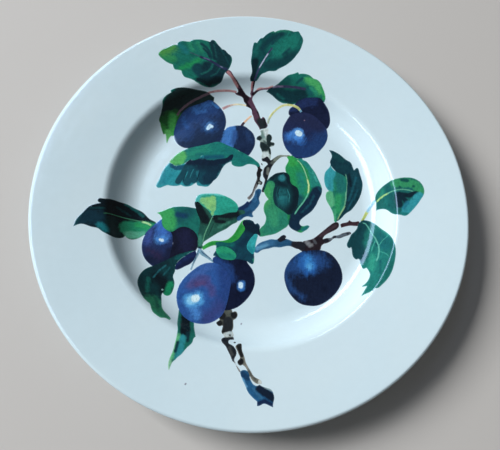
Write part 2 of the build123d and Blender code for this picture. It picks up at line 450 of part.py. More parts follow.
TWIGS = {
    "twig_top": [
        [(-16.3, 92.2), (-15, 92.2), (-12.4, 89.2), (-9, 85.9), (-4.9, 81.2), (-2, 78.6), (-0.4, 78)],
        [(-0.8, 80), (-0.3, 83), (0.2, 86.6)],
        [(2.9, 86.9), (2.3, 85), (1.8, 83), (1.6, 81.6)],
        [(4, 83), (7, 83.6), (10.4, 83.5), (15.1, 83.8)],
        [(14.9, 82.8), (10.4, 82.2), (7, 82), (5, 81.3), (3.2, 80), (1, 77.4)],
        [(0.9, 76), (2.4, 72.9), (4, 69.3), (5.6, 65.6), (6.7, 62.6)],
        [(7.8, 63.9), (9.5, 62.4), (10.3, 59.7), (11.1, 57.4), (10.3, 55.5), (8.2, 54.7)],
        [(5.7, 53.6), (5.1, 55.5), (3.5, 58.2), (2, 60.9), (1.3, 63.8), (0.4, 66.5), (0, 69.3),
         (-1.7, 70.6)],
        [(-3.5, 71.5), (-3.3, 72.6), (-4.7, 74.5), (-5.6, 77.1), (-8, 78.4), (-9.8, 78.9)],
        [(-11.1, 80.1), (-9, 81)],
        [(-9.2, 82.1), (-12, 85.2), (-15, 88.2), (-17.4, 90.4)],
    ],
    "twig_knots": [
        [(5.7, 53.3), (8.2, 54.4), (10.4, 55.2)],
        [(11, 51), (12.8, 50.5), (13.8, 48.9), (13.6, 46.6), (13, 45.5)],
        [(14.4, 44.8), (15.5, 43.7), (15, 42.3), (13.2, 41.4)],
        [(12.2, 41.1), (13, 38), (12.9, 35)],
        [(12.6, 33), (12, 31.8)],
        [(9, 31.6), (6.8, 33)],
        [(6.9, 35.5), (6.6, 38.8)],
        [(5.8, 40.6), (5.5, 43), (5.5, 45.2)],
        [(3.9, 46.1), (3.3, 47.6), (4.3, 49), (5.3, 49.6)],
    ],
    "twig_left_strand": [
        [(3.1, 27.3), (5.7, 27.3), (5.9, 25.8), (7, 25)],
        [(7.1, 24), (6.1, 22.6), (6.1, 20.9), (5.6, 19.3), (5.5, 17.5)],
        [(6.6, 16.5), (6.9, 15.1), (5.9, 14), (4.7, 14.4)],
        [(3.9, 13.2), (3.1, 11.9), (2.3, 10.5), (1.2, 8.1), (0.4, 6), (-0.4, 4.9), (-1.2, 3.9),
         (-2.3, 3.9)],
        [(-2.9, 5.5), (-1.5, 6.8), (-0.1, 8.7), (0.7, 11.1), (1.7, 14), (2.8, 16.9), (3.4, 19.3),
         (3.1, 20.9), (3.3, 23.1), (3.8, 24.7)],
    ],
    "twig_right_strand": [
        [(6.7, 33), (8.2, 33), (10.3, 34.2), (11.6, 33), (12.7, 31.8)],
        [(13.7, 32.4), (15.3, 33.6), (16.9, 34.7), (19.4, 35.7), (22.5, 35.5), (25.8, 35.1)],
        [(26, 34.2), (23.7, 34.1), (21.3, 34.3), (19, 33.5), (17.4, 32), (15.5, 30), (13.5, 27.1),
         (12.4, 24.7), (11.3, 21.5), (10.5, 18.8), (9.7, 15.9), (8.9, 13.5), (8.4, 11.1)],
        [(7.8, 8.9), (6.5, 9.3), (6.8, 11.9), (7.6, 14), (8.1, 15.9), (8.4, 18), (7.6, 19.6),
         (7.2, 21.5), (7.6, 24.1), (8.3, 26.3), (9.5, 27.6)],
        [(10.5, 28.7), (10, 29.7), (8.9, 30.4), (7.3, 30.8), (6.7, 31.7)],
    ],
    "twig_blue_bend": [
        [(4.7, 11.4), (3.3, 11), (2.1, 9.8), (1.8, 8.1), (1.2, 6.4), (0.4, 4.8), (-0.8, 3.3)],
        [(-1.9, 2.2), (-2.9, 2.7), (-4.3, 1.5), (-6, 0.1), (-7.8, -0.9)],
        [(-9.4, -1.6), (-10.5, -6)],
        [(-10.2, -9.9), (-8.8, -10.7), (-6.7, -9.7), (-5.3, -8.5), (-3.6, -7.7), (-1.9, -7.8),
         (0.2, -8.1)],
        [(0.9, -7.3), (0.2, -5.4)],
        [(1.6, -3.7), (3.3, -1.6), (4.5, 0.1), (5.1, 1.9), (4.7, 3.6), (4.7, 5), (5.4, 7.1),
         (6.1, 9.1), (6.1, 10.6)],
    ],
    "twig_blue_branch": [
        [(1.4, -31), (1.7, -28.1), (3, -26), (5.3, -24.4), (9.1, -23), (12.3, -22.3), (16, -22.1)],
        [(16.2, -21.9), (17.5, -20.7), (19.8, -19.5), (20.9, -19.9)],
        [(20.7, -22), (22.6, -22.4), (24.9, -23.4), (28.7, -23.7), (31.2, -23.9)],
        [(33.5, -26.5), (31.5, -30)],
        [(28.7, -28.8), (26.3, -28.1), (24.5, -27.2), (20.7, -27), (16.5, -27.8), (13.7, -27.6),
         (10, -28.6), (5.3, -29.8), (3, -31.4)],
    ],
    "twig_brown_branch": [
        [(31, -23.9), (33.3, -23.2), (35.7, -22.6), (37.5, -22.1), (39.9, -20.7), (42.7, -18.4),
         (45, -16.5), (47.3, -14.6), (49.7, -12.7), (52, -11.2), (54.3, -10.8)],
        [(55.3, -13.2), (53.9, -15.3), (51.1, -16.9), (48.3, -18.3), (45.5, -20.2)],
        [(44.5, -22.1), (46, -21.6), (47.8, -21.3), (49.7, -21.1), (51.1, -20), (53.9, -19.5),
         (56.7, -18.3), (59.5, -17.5), (62.3, -17.4)],
        [(62.8, -18.4), (61.3, -19.4), (58.1, -20.5), (54.8, -21.6), (52, -21.6), (49.7, -23.2),
         (47.3, -24.6), (45, -25.3)],
        [(43.1, -27.2), (42.2, -29.5)],
        [(37, -31), (31, -30.6)],
    ],
    "twig_outer_branch": [
        [(56, -12.5), (58.5, -11.2), (60.9, -10.6)],
        [(62, -8.9), (63.3, -10.2), (66, -10.4), (68.2, -10.2)],
        [(68.6, -12), (67.3, -13.3), (66, -13.4), (62.7, -13.2), (59, -13.9)],
        [(56.5, -14.6)],
    ],
    "twig_foot_knots": [
        [(-17.4, -66), (-12.6, -66.4)],
        [(-12.2, -67.7), (-9.7, -67.7), (-9.2, -69.4), (-10.4, -71.7)],
        [(-11.7, -72.4), (-11.7, -74.8), (-11.8, -77.3)],
        [(-12.6, -78.8), (-12, -82.4)],
        [(-14.2, -83), (-16.8, -82.8)],
        [(-17.6, -81.3), (-18.6, -80.2), (-18.4, -77.6), (-18.1, -75.9)],
        [(-19.2, -76.1), (-21.3, -75.4), (-21.8, -73.8), (-20.6, -72.9)],
        [(-20.4, -71.2), (-18.8, -68.6), (-18, -67)],
    ],
    "twig_foot_left_strand": [
        [(-18.8, -84.2), (-16.8, -82.8), (-14.2, -83), (-12, -82.6)],
        [(-11.5, -84.4), (-14.6, -85.3)],
        [(-14.3, -86.7), (-12, -88), (-10.3, -90.6), (-10.3, -93.1), (-11.4, -95.4)],
        [(-10.6, -97.2), (-9.4, -99.6), (-8, -102.4)],
        [(-8.7, -102.3), (-10.2, -99.6), (-11.6, -97.2)],
        [(-12.6, -96.3), (-13.9, -93.1), (-15.3, -90.3), (-16.7, -87.8), (-18.1, -86.3)],
    ],
    "twig_foot_right_strand": [
        [(-9.9, -87.3), (-8.6, -86.5), (-7.3, -86.7), (-7.1, -88.2), (-6.9, -90.8), (-5.9, -93.6),
         (-5, -96.9), (-3.6, -99.7), (-2.2, -102), (-0.8, -104.3), (1.5, -105.8), (3.4, -107)],
        [(3.5, -108.5), (1.1, -108.6), (-1.3, -107.1), (-3.1, -104.3), (-4.5, -101.1)],
        [(-6.9, -98.4), (-9.2, -98.3), (-9.6, -96.4), (-8.4, -95), (-9, -92.7), (-10.1, -90.3),
         (-10.8, -88.9)],
    ],
    "twig_foot_blue": [
        [(-8.3, -102.2), (-6.4, -101.1), (-4.5, -101.5), (-2.7, -105.7), (0.6, -109.5)],
        [(2.4, -108.9), (5.7, -110.4), (9, -111.8), (9.9, -113.7), (10.3, -116), (9.8, -118)],
        [(9.6, -120.7), (6.7, -119.5), (4.3, -118.9), (2.5, -119.7)],
        [(0.7, -120)],
        [(0.8, -117.7), (-1.7, -115.5), (-4.1, -112.7), (-5.5, -109.5), (-6.9, -106.7), (-7.8, -104.3)],
    ],
}

# Each stalk is a list of points along it with the brush stroke's width at each.
STALKS = {
    "stalk_red": [(-29.4, 78.3, 1.2), (-24.7, 79.8, 1.3), (-20.4, 80.6, 1.4), (-15.1, 81, 1.4),
                  (-9.9, 80.6, 1.4)],
    "stalk_plum_top_left": [(-3, 71.9, 1.2), (-6, 72.6, 1.3), (-9.3, 72.8, 1.3), (-13.2, 72.1, 1.5),
                            (-16.1, 71, 1.9), (-19.4, 69.1, 2.2)],
    "stalk_plum_behind": [(0.3, 64.2, 1.4), (-1.8, 62.5, 1.5), (-3.6, 60.4, 1.6), (-5.4, 58.4, 1.9),
                          (-6.4, 56.2, 2.0)],
    "stalk_plum_right": [(11.4, 58.4, 1.3), (11.9, 61.6, 1.6), (13.2, 64.3, 1.7), (15.1, 67.1, 1.6),
                         (17.5, 69.6, 1.6), (20.2, 71.6, 1.6), (23.3, 72.6, 1.6), (26, 72.5, 1.5),
                         (29.1, 71.9, 1.5), (31.4, 70.8, 1.6), (33, 69.3, 1.5), (34.2, 67.6, 1.6)],
    "stalk_fork_left": [(-32.8, -28.6, 1.8), (-33.6, -31.8, 1.9), (-35.2, -35.5, 1.5),
                        (-36.6, -38.8, 1.3), (-37.6, -42.2, 1.1)],
    "stalk_fork_right": [(-32.4, -29.2, 1.8), (-31.2, -31.4, 2.8), (-28.5, -33.6, 2.1),
                         (-25.8, -35.6, 1.5), (-23.6, -37.4, 1.4)],
    "stalk_far_right": [(70, -10.4, 1.5), (71.8, -7.6, 2.0), (73.6, -4.6, 2.1), (75.8, -1.2, 2.1),
                        (77.9, 1.6, 2.0), (80.2, 3.8, 1.9)],
}

LAID_DOWN = [
    "stalk_red", "stalk_plum_top_left", "twig_left_strand", "twig_knots", "twig_right_strand",
    "twig_top", "stalk_plum_behind", "twig_blue_bend", "twig_brown_branch", "twig_blue_branch",
    "twig_outer_branch", "twig_foot_right_strand", "twig_foot_left_strand", "twig_foot_knots",
    "twig_foot_blue", "leaf_top_left", "leaf_top_middle", "leaf_top_right", "leaf_dark",
    "plum_top_left_behind", "plum_top_left", "leaf_long_underside", "leaf_long_face",
    "plum_right_behind", "leaf_centre_blade", "plum_right", "stalk_plum_right",
    "leaf_centre_lobe", "leaf_centre_blot", "leaf_upright_left", "leaf_upright_right",
    "stalk_far_right", "leaf_far_right", "leaf_lower_right", "leaf_left", "leaf_over_left_plum",
    "plum_left_behind", "plum_left", "leaf_two_tone_underside", "leaf_two_tone_face",
    "stalk_fork_left", "stalk_fork_right", "plum_front_behind", "leaf_ribbon",
    "leaf_lower_middle", "leaf_lower_middle_petal", "leaf_lower_middle_strip",
    "plum_left_sliver", "leaf_curled_left", "leaf_bottom", "plum_front", "plum_round",
]


def mark_shape(name):
    if name in STALKS:
        return stroke(STALKS[name])
    return outline({**LEAVES_AND_PLUMS, **TWIGS}[name])


def meets(one, other):
    """Whether the boxes of two flat shapes overlap."""
    a = one.bounding_box()
    b = other.bounding_box()
    apart_x = a.max.X < b.min.X or b.max.X < a.min.X
    apart_y = a.max.Y < b.min.Y or b.max.Y < a.min.Y
    return not (apart_x or apart_y)


def cut_marks():
    """Every mark's visible flat shape: its outline less all the marks laid over it."""
    shapes = {name: mark_shape(name) for name in LAID_DOWN}
    visible = {}
    for number, name in enumerate(LAID_DOWN):
        above = [shapes[later] for later in LAID_DOWN[number + 1:]]
        left = shapes[name]
        for upper in above:
            if meets(shapes[name], upper):
                left = left - upper
        visible[name] = [face for face in left.faces() if face.area > SMALLEST_MARK]
    return visible


def reach(face):
    """The distance from the axis to a flat shape's farthest corner or curve point."""
    spots = [edge @ share for edge in face.edges() for share in (0, 0.25, 0.5, 0.75)]
    return max(math.hypot(spot.X, spot.Y) for spot in spots)


def paint(faces, shell):
    """One mark as solid paint: flat on the floor, and curved with the plate beyond it."""
    solids = []
    for face in faces:
        if reach(face) < FLAT_FLOOR_RADIUS - 1:
            solids += extrude(Pos(0, 0, FLOOR_TOP) * face, PAINT_THICKNESS, dir=(0, 0, 1)).solids()
        else:
            solids += (extrude(face, RIM_RADIUS / 4, dir=(0, 0, 1)) & shell).solids()
    return Compound(solids) if len(solids) > 1 else solids[0]


def save(shape, name):
    export_step(shape, f"parts/{name}.step")


os.makedirs("parts", exist_ok=True)

whole = section(0)
foot_band = Pos((FOOT_OUTER_RADIUS + FOOT_INNER_RADIUS) / 2, 0) * Rectangle(12, 2 * GLAZE_STOP_HEIGHT)
clay = section(GLAZE_THICKNESS) + (whole & foot_band)
coats = sorted((whole - clay).faces(), key=lambda coat: coat.bounding_box().max.X)
save(revolve(Plane.XZ * clay, Axis.Z), "clay_body")
save(revolve(Plane.XZ * coats[-1], Axis.Z), "glaze_coat")
save(revolve(Plane.XZ * coats[0], Axis.Z), "foot_recess_glaze")

skin = paint_shell()
for mark, faces in cut_marks().items():
    save(paint(faces, skin), mark)
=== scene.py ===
import json
import math

import bpy
import numpy as np
from mathutils import Matrix, Vector
from mathutils.geometry import delaunay_2d_cdt

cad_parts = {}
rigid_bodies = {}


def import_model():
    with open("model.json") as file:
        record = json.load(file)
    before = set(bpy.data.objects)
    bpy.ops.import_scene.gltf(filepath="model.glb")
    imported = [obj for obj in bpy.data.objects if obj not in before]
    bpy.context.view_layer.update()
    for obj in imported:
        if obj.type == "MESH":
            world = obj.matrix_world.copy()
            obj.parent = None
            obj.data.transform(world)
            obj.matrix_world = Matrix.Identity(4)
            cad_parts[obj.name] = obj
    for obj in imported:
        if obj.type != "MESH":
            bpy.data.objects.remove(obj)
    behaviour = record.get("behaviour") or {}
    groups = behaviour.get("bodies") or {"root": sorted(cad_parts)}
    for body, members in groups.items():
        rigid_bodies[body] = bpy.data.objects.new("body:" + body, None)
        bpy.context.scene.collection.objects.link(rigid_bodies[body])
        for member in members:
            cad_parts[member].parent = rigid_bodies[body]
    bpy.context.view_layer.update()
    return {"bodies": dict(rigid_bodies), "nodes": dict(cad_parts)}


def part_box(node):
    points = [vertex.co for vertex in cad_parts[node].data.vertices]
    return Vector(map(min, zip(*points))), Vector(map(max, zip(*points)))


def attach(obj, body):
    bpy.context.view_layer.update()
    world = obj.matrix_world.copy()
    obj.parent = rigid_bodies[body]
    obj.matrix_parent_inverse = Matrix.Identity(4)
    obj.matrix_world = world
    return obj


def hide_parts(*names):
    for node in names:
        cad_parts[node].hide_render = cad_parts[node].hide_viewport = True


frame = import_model()

# Plan positions, heights and widths below are in millimetres, in the row frame; MM turns them
# into Blender's metres.
MM = 0.001

# ---------------------------------------------------------------- the plate's form
FLOOR_TOP = 6.9
FLOOR_THICKNESS = 4.4
FLAT_FLOOR_RADIUS = 70.5
COVE_RADIUS = 21.0
WALL_ANGLE = 48.0
WALL_RUN = 2.4
SHOULDER_RADIUS = 7.0
RIM_SLOPE = 6.6
WALL_THICKNESS = 3.6
FOOT_OUTER_RADIUS = 77.0
FOOT_INNER_RADIUS = 72.5
FOOT_ROUND = 1.0
GLAZE_THICKNESS = 0.35
GLAZE_STOP_HEIGHT = 1.4

GLAZE_TOP_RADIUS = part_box("glaze_coat")[1].x / MM
LIP_RADIUS = WALL_THICKNESS / 2
UNDER_FLOOR = FLOOR_TOP - FLOOR_THICKNESS


def step(point, distance, heading):
    turn = math.radians(heading)
    return (point[0] + distance * math.cos(turn), point[1] + distance * math.sin(turn))


def on_hollow(centre, radius, heading):
    return step(centre, radius, heading - 90)


def on_crown(centre, radius, heading):
    return step(centre, radius, heading + 90)


COVE_CENTRE = (FLAT_FLOOR_RADIUS, FLOOR_TOP + COVE_RADIUS)
WALL_FOOT = on_hollow(COVE_CENTRE, COVE_RADIUS, WALL_ANGLE)
WALL_TOP = step(WALL_FOOT, WALL_RUN, WALL_ANGLE)
SHOULDER_CENTRE = step(WALL_TOP, SHOULDER_RADIUS, WALL_ANGLE - 90)
RIM_START = on_crown(SHOULDER_CENTRE, SHOULDER_RADIUS, RIM_SLOPE)
RIM_AXIS_START = on_crown(SHOULDER_CENTRE, SHOULDER_RADIUS - LIP_RADIUS, RIM_SLOPE)
RIM_AXIS_LENGTH = (GLAZE_TOP_RADIUS - LIP_RADIUS - RIM_AXIS_START[0]) / math.cos(math.radians(RIM_SLOPE))
LIP_CENTRE = step(RIM_AXIS_START, RIM_AXIS_LENGTH, RIM_SLOPE)


def smooth(x):
    """0 below 0, 1 above 1 and a smooth slope between."""
    x = np.clip(x, 0, 1)
    return x * x * (3 - 2 * x)


def unevenness(x, y):
    """How far the fired plate lies above or below its true turned shape at a plan position."""
    radius = np.hypot(x, y)
    angle = np.arctan2(y, x)
    warp = 0.14 * np.sin(2 * angle + 0.7) + 0.07 * np.sin(3 * angle + 2.0)
    waves = 0.02 * np.sin(0.11 * x + 0.05 * y + 1.0) * np.sin(0.13 * y - 0.04 * x)
    rings = 0.004 * np.sin(0.8 * radius + 0.9 * np.sin(angle))
    return warp * smooth((radius - 78) / 55) + waves + rings


def face_height(x, y):
    """Height of the eating face at a plan position."""
    radius = np.hypot(x, y)
    slope = math.tan(math.radians(RIM_SLOPE))
    cove = FLOOR_TOP + COVE_RADIUS - np.sqrt(
        np.maximum(COVE_RADIUS ** 2 - np.maximum(radius - FLAT_FLOOR_RADIUS, 0) ** 2, 0))
    wall = WALL_FOOT[1] + (radius - WALL_FOOT[0]) * math.tan(math.radians(WALL_ANGLE))
    shoulder = SHOULDER_CENTRE[1] + np.sqrt(
        np.maximum(SHOULDER_RADIUS ** 2 - (radius - SHOULDER_CENTRE[0]) ** 2, 0))
    rim = RIM_START[1] + (radius - RIM_START[0]) * slope
    height = np.where(radius < WALL_FOOT[0], cove, wall)
    height = np.where(radius > WALL_TOP[0], shoulder, height)
    height = np.where(radius > RIM_START[0], rim, height)
    return height + unevenness(x, y)


# ---------------------------------------------------------------- mesh helpers
def new_object(name, vertices, faces):
    """A smooth-shaded mesh object from points in millimetres."""
    mesh = bpy.data.meshes.new(name)
    mesh.from_pydata((np.asarray(vertices) * MM).tolist(), [], faces)
    mesh.polygons.foreach_set("use_smooth", [True] * len(mesh.polygons))
    mesh.update()
    thing = bpy.data.objects.new(name, mesh)
    bpy.context.scene.collection.objects.link(thing)
    return thing


def line(start, end, pieces):
    return [(start[0] + (end[0] - start[0]) * i / pieces, start[1] + (end[1] - start[1]) * i / pieces)
            for i in range(pieces)]


def arc(side, centre, radius, start, end, pieces):
    return [side(centre, radius, start + (end - start) * i / pieces) for i in range(pieces)]


def face_path(inset, fineness):
    """The eating face from the axis to the lip in cross-section, as a list of points."""
    wall_foot = on_hollow(COVE_CENTRE, COVE_RADIUS + inset, WALL_ANGLE)
    wall_top = on_crown(SHOULDER_CENTRE, SHOULDER_RADIUS - inset, WALL_ANGLE)
    rim_start = on_crown(SHOULDER_CENTRE, SHOULDER_RADIUS - inset, RIM_SLOPE)
    lip = on_crown(LIP_CENTRE, LIP_RADIUS - inset, RIM_SLOPE)
    floor_edge = (FLAT_FLOOR_RADIUS, FLOOR_TOP - inset)
    return (line((0, FLOOR_TOP - inset), floor_edge, 14 * fineness)
            + arc(on_hollow, COVE_CENTRE, COVE_RADIUS + inset, 0, WALL_ANGLE, 12 * fineness)
            + line(wall_foot, wall_top, fineness)
            + arc(on_crown, SHOULDER_CENTRE, SHOULDER_RADIUS - inset, WALL_ANGLE, RIM_SLOPE, 8 * fineness)
            + line(rim_start, lip, 12 * fineness))


def underside_path(inset, fineness):
    """From the top of the lip round it and in along the underside to the foot's outer side."""
    shoulder = SHOULDER_RADIUS - WALL_THICKNESS + inset
    cove = COVE_RADIUS + WALL_THICKNESS - inset
    foot_heading = math.degrees(math.asin((FOOT_OUTER_RADIUS - inset - FLAT_FLOOR_RADIUS) / cove))
    under_lip = on_crown(LIP_CENTRE, LIP_RADIUS - inset, RIM_SLOPE - 180)
    return (arc(on_crown, LIP_CENTRE, LIP_RADIUS - inset, RIM_SLOPE, RIM_SLOPE - 180, 8 * fineness)
            + line(under_lip, on_crown(SHOULDER_CENTRE, shoulder, RIM_SLOPE), 8 * fineness)
            + arc(on_crown, SHOULDER_CENTRE, shoulder, RIM_SLOPE, WALL_ANGLE, 3 * fineness)
            + line(on_crown(SHOULDER_CENTRE, shoulder, WALL_ANGLE),
                   on_hollow(COVE_CENTRE, cove, WALL_ANGLE), fineness)
            + arc(on_hollow, COVE_CENTRE, cove, WALL_ANGLE, foot_heading, 8 * fineness)
            + [on_hollow(COVE_CENTRE, cove, foot_heading)])


def foot_path():
    """Down the foot's outer side, across its rounded contact band and up its inner side."""
    round_out = (FOOT_OUTER_RADIUS - FOOT_ROUND, FOOT_ROUND)
    round_in = (FOOT_INNER_RADIUS + FOOT_ROUND, FOOT_ROUND)
    return ([(FOOT_OUTER_RADIUS, GLAZE_STOP_HEIGHT)]
            + arc(on_hollow, round_out, FOOT_ROUND, 90, 0, 8)
            + line((round_out[0], 0), (round_in[0], 0), 6)
            + arc(on_hollow, round_in, FOOT_ROUND, 0, -90, 8)
            + [(FOOT_INNER_RADIUS, FOOT_ROUND), (FOOT_INNER_RADIUS, GLAZE_STOP_HEIGHT)])


def recess_path(inset, fineness):
    """From the foot's inner side up and across the recess to the axis."""
    corner = (FOOT_INNER_RADIUS - FOOT_ROUND, UNDER_FLOOR - FOOT_ROUND)
    return ([(FOOT_INNER_RADIUS + inset, GLAZE_STOP_HEIGHT)]
            + arc(on_crown, corner, FOOT_ROUND + inset, -90, 0, 4 * fineness)
            + line((corner[0], UNDER_FLOOR + inset), (0, UNDER_FLOOR + inset), 12 * fineness)
            + [(0, UNDER_FLOOR + inset)])


def turned(name, path, segments, uneven=False, closed=True):
    """A surface of revolution, closed from the path's end back to its start; ends on the axis meet there."""
    vertices = []
    rings = []
    for radius, height in path:
        if radius < 1e-6:
            rings.append([len(vertices)] * segments)
            vertices.append((0.0, 0.0, height))
            continue
        rings.append(range(len(vertices), len(vertices) + segments))
        for turn in (2 * math.pi * i / segments for i in range(segments)):
            vertices.append((radius * math.cos(turn), radius * math.sin(turn), height))
    faces = []
    for ring, after in zip(rings, rings[1:] + (rings[:1] if closed else [])):
        if ring[0] == ring[1] and after[0] == after[1]:
            continue
        for i in range(segments):
            j = (i + 1) % segments
            corners = [ring[i], after[i], after[j], ring[j]]
            faces.append([c for k, c in enumerate(corners) if c != corners[k - 1]])
    vertices = np.array(vertices)
    if uneven:
        vertices[:, 2] += unevenness(vertices[:, 0], vertices[:, 1])
    return new_object(name, vertices, faces)


def open_sides(polygons):
    """The sides of some polygons that no neighbour shares, in their own direction."""
    sides = {}
    for corners in polygons:
        for one, other in zip(corners, corners[1:] + corners[:1]):
            if (other, one) in sides:
                del sides[(other, one)]
            elif one != other:
                sides[(one, other)] = True
    return sides


def left_of(starts, ends):
    """The unit direction to the left of each side."""
    run = ends - starts
    return np.stack([-run[:, 1], run[:, 0]], 1) / np.hypot(*run.T)[:, None]


# ---------------------------------------------------------------- node helpers
def linear(rgb):
    """A colour read as 0-255 display values, as the linear RGBA that Blender's sockets take."""
    shares = [value / 255 for value in rgb]
    return [s / 12.92 if s < 0.04045 else ((s + 0.055) / 1.055) ** 2.4 for s in shares] + [1.0]


class Shader:
    """One Principled material under construction."""

    def __init__(self, name):
        self.material = bpy.data.materials.new(name)
        self.material.use_nodes = True
        self.tree = self.material.node_tree
        self.surface = self.tree.nodes["Principled BSDF"]
        self.place = self.scaled(self.add("ShaderNodeTexCoord").outputs["Object"], 1 / MM)

    def fill(self, node, inputs):
        """Links each output to a node's input, or sets the input's own value."""
        for key, value in inputs.items():
            if isinstance(value, bpy.types.NodeSocket):
                self.tree.links.new(value, node.inputs[key])
            else:
                node.inputs[key].default_value = value

    def add(self, kind, inputs=None, **settings):
        node = self.tree.nodes.new(kind)
        for key, value in settings.items():
            setattr(node, key, value)
        self.fill(node, inputs or {})
        return node

    def finish(self, inputs, relief, depth):
        """Sets the surface's inputs and bumps it: depth is in millimetres, and relief runs over about 1."""
        bump = self.add("ShaderNodeBump", {"Strength": 1.0, "Distance": depth * MM, "Height": relief})
        self.fill(self.surface, {**inputs, "Normal": bump.outputs[0]})
        return self.material

    def times(self, value, other):
        """A vector or colour times another, part by part."""
        return self.add("ShaderNodeVectorMath", {0: value, 1: other}, operation="MULTIPLY").outputs[0]

    def scaled(self, value, scale):
        """A vector or colour times a number."""
        return self.add("ShaderNodeVectorMath", {0: value, "Scale": scale}, operation="SCALE").outputs[0]

    def number(self, operation, *values):
        return self.add("ShaderNodeMath", dict(enumerate(values)), operation=operation).outputs[0]

    def total(self, value, *terms):
        """A value with other values added, each times its own factor."""
        for other, factor in terms:
            value = self.number("ADD", value, self.number("MULTIPLY", other, factor))
        return value

    def ramp(self, value, low, high, to_low=0.0, to_high=1.0):
        """A smooth slope from to_low, where value is low, to to_high, where it is high."""
        inputs = dict(enumerate((value, low, high, to_low, to_high)))
        return self.add("ShaderNodeMapRange", inputs, interpolation_type="SMOOTHSTEP").outputs[0]

    def mix(self, share, colour, other):
        return self.add("ShaderNodeMix", {0: share, 6: colour, 7: other}, data_type="RGBA").outputs[2]

    def noise(self, size, detail=2.0, place=None, roughness=0.5):
        """Noise with features about this many millimetres across, centred on 0."""
        node = self.add("ShaderNodeTexNoise", {"Vector": place or self.place, "Scale": 1 / size,
                                               "Detail": detail, "Roughness": roughness})
        return self.number("SUBTRACT", node.outputs[0], 0.5)

    def cells(self, size):
        """A pattern of cells about this many millimetres across."""
        return self.add("ShaderNodeTexVoronoi", {"Vector": self.place, "Scale": 1 / size})

    def along(self, heading, stretch):
        """Plan coordinates turned to a heading and squeezed along it, so that noise makes streaks."""
        rotation = (0, 0, -math.radians(heading))
        turned_place = self.add("ShaderNodeMapping", {"Vector": self.place, "Rotation": rotation}).outputs[0]
        return self.times(turned_place, (1 / stretch, 1.0, 1.0))

    def stored(self, name, output="Fac"):
        """What store() kept on the mesh under a name."""
        return self.add("ShaderNodeAttribute", attribute_name=name).outputs[output]


GLAZE_COLOUR = (209, 232, 243)
GLAZE_IOR = 1.5


def glaze_material():
    """Cool off-white gloss glaze: faint pooling of colour, fine pinholes and a few iron specks."""
    shader = Shader("glaze")
    pooling = shader.noise(38, detail=3)
    mottle = shader.noise(4.5, detail=3)
    fine = shader.noise(0.7)
    cells = shader.cells(13)
    chance = shader.add("ShaderNodeSeparateColor", {0: cells.outputs["Color"]}).outputs[0]
    speck_size = shader.ramp(chance, 0.75, 1.0, 0.0, 0.028)
    speck = shader.ramp(shader.number("SUBTRACT", speck_size, cells.outputs["Distance"]), 0.0, 0.012)
    warm = shader.ramp(pooling, -0.15, 0.2, 0.0, 0.35)
    colour = shader.mix(warm, linear(GLAZE_COLOUR), linear((212, 231, 239)))
    colour = shader.mix(shader.number("MULTIPLY", speck, 0.55), colour, linear((92, 86, 84)))
    tone = shader.total(1.0, (pooling, 0.05), (mottle, 0.035))
    relief = shader.number("SUBTRACT", shader.total(mottle, (fine, 0.1)), speck)
    return shader.finish({"Base Color": shader.scaled(colour, tone), "IOR": GLAZE_IOR,
                          "Roughness": shader.ramp(mottle, -0.2, 0.2, 0.07, 0.12)}, relief, 0.02)


def clay_material():
    """Buff fired clay, dry and sandy, with grog and a little kiln dust in its pores."""
    shader = Shader("fired_clay")
    body = shader.noise(6, detail=4)
    grain = shader.noise(0.45, detail=3, roughness=0.7)
    grog = shader.ramp(shader.cells(0.9).outputs["Distance"], 0.0, 0.28, 0.5, 0.0)
    colour = shader.mix(shader.ramp(body, -0.2, 0.2), linear((214, 199, 178)), linear((196, 178, 154)))
    colour = shader.mix(grog, colour, linear((140, 118, 96)))
    tone = shader.total(1.0, (grain, 0.35))
    return shader.finish({"Base Color": shader.scaled(colour, tone),
                          "Roughness": shader.ramp(grain, -0.3, 0.3, 0.78, 0.95)},
                         shader.total(grain, (body, 0.5)), 0.12)


# ---------------------------------------------------------------- the painted marks
MARKS = {}


def wash(rgb, width, soft, *places):
    """A broad brush stroke: colour, width, how softly it fades out, and x, y, x, y... along it."""
    points = np.array(places, float).reshape(-1, 2)
    return {"rgb": rgb, "width": width, "soft": soft, "points": points, "vein": False}


def vein(rgb, width, *places):
    """A thin drawn line: colour, width, and x, y, x, y... along it."""
    return dict(wash(rgb, width, 0, *places), vein=True)


def mark(name, rgb, heading, *strokes):
    """A painted mark: its CAD node, ground colour, the heading of its brushwork, and its strokes in order."""
    MARKS[name] = {"rgb": rgb, "heading": heading, "strokes": strokes}


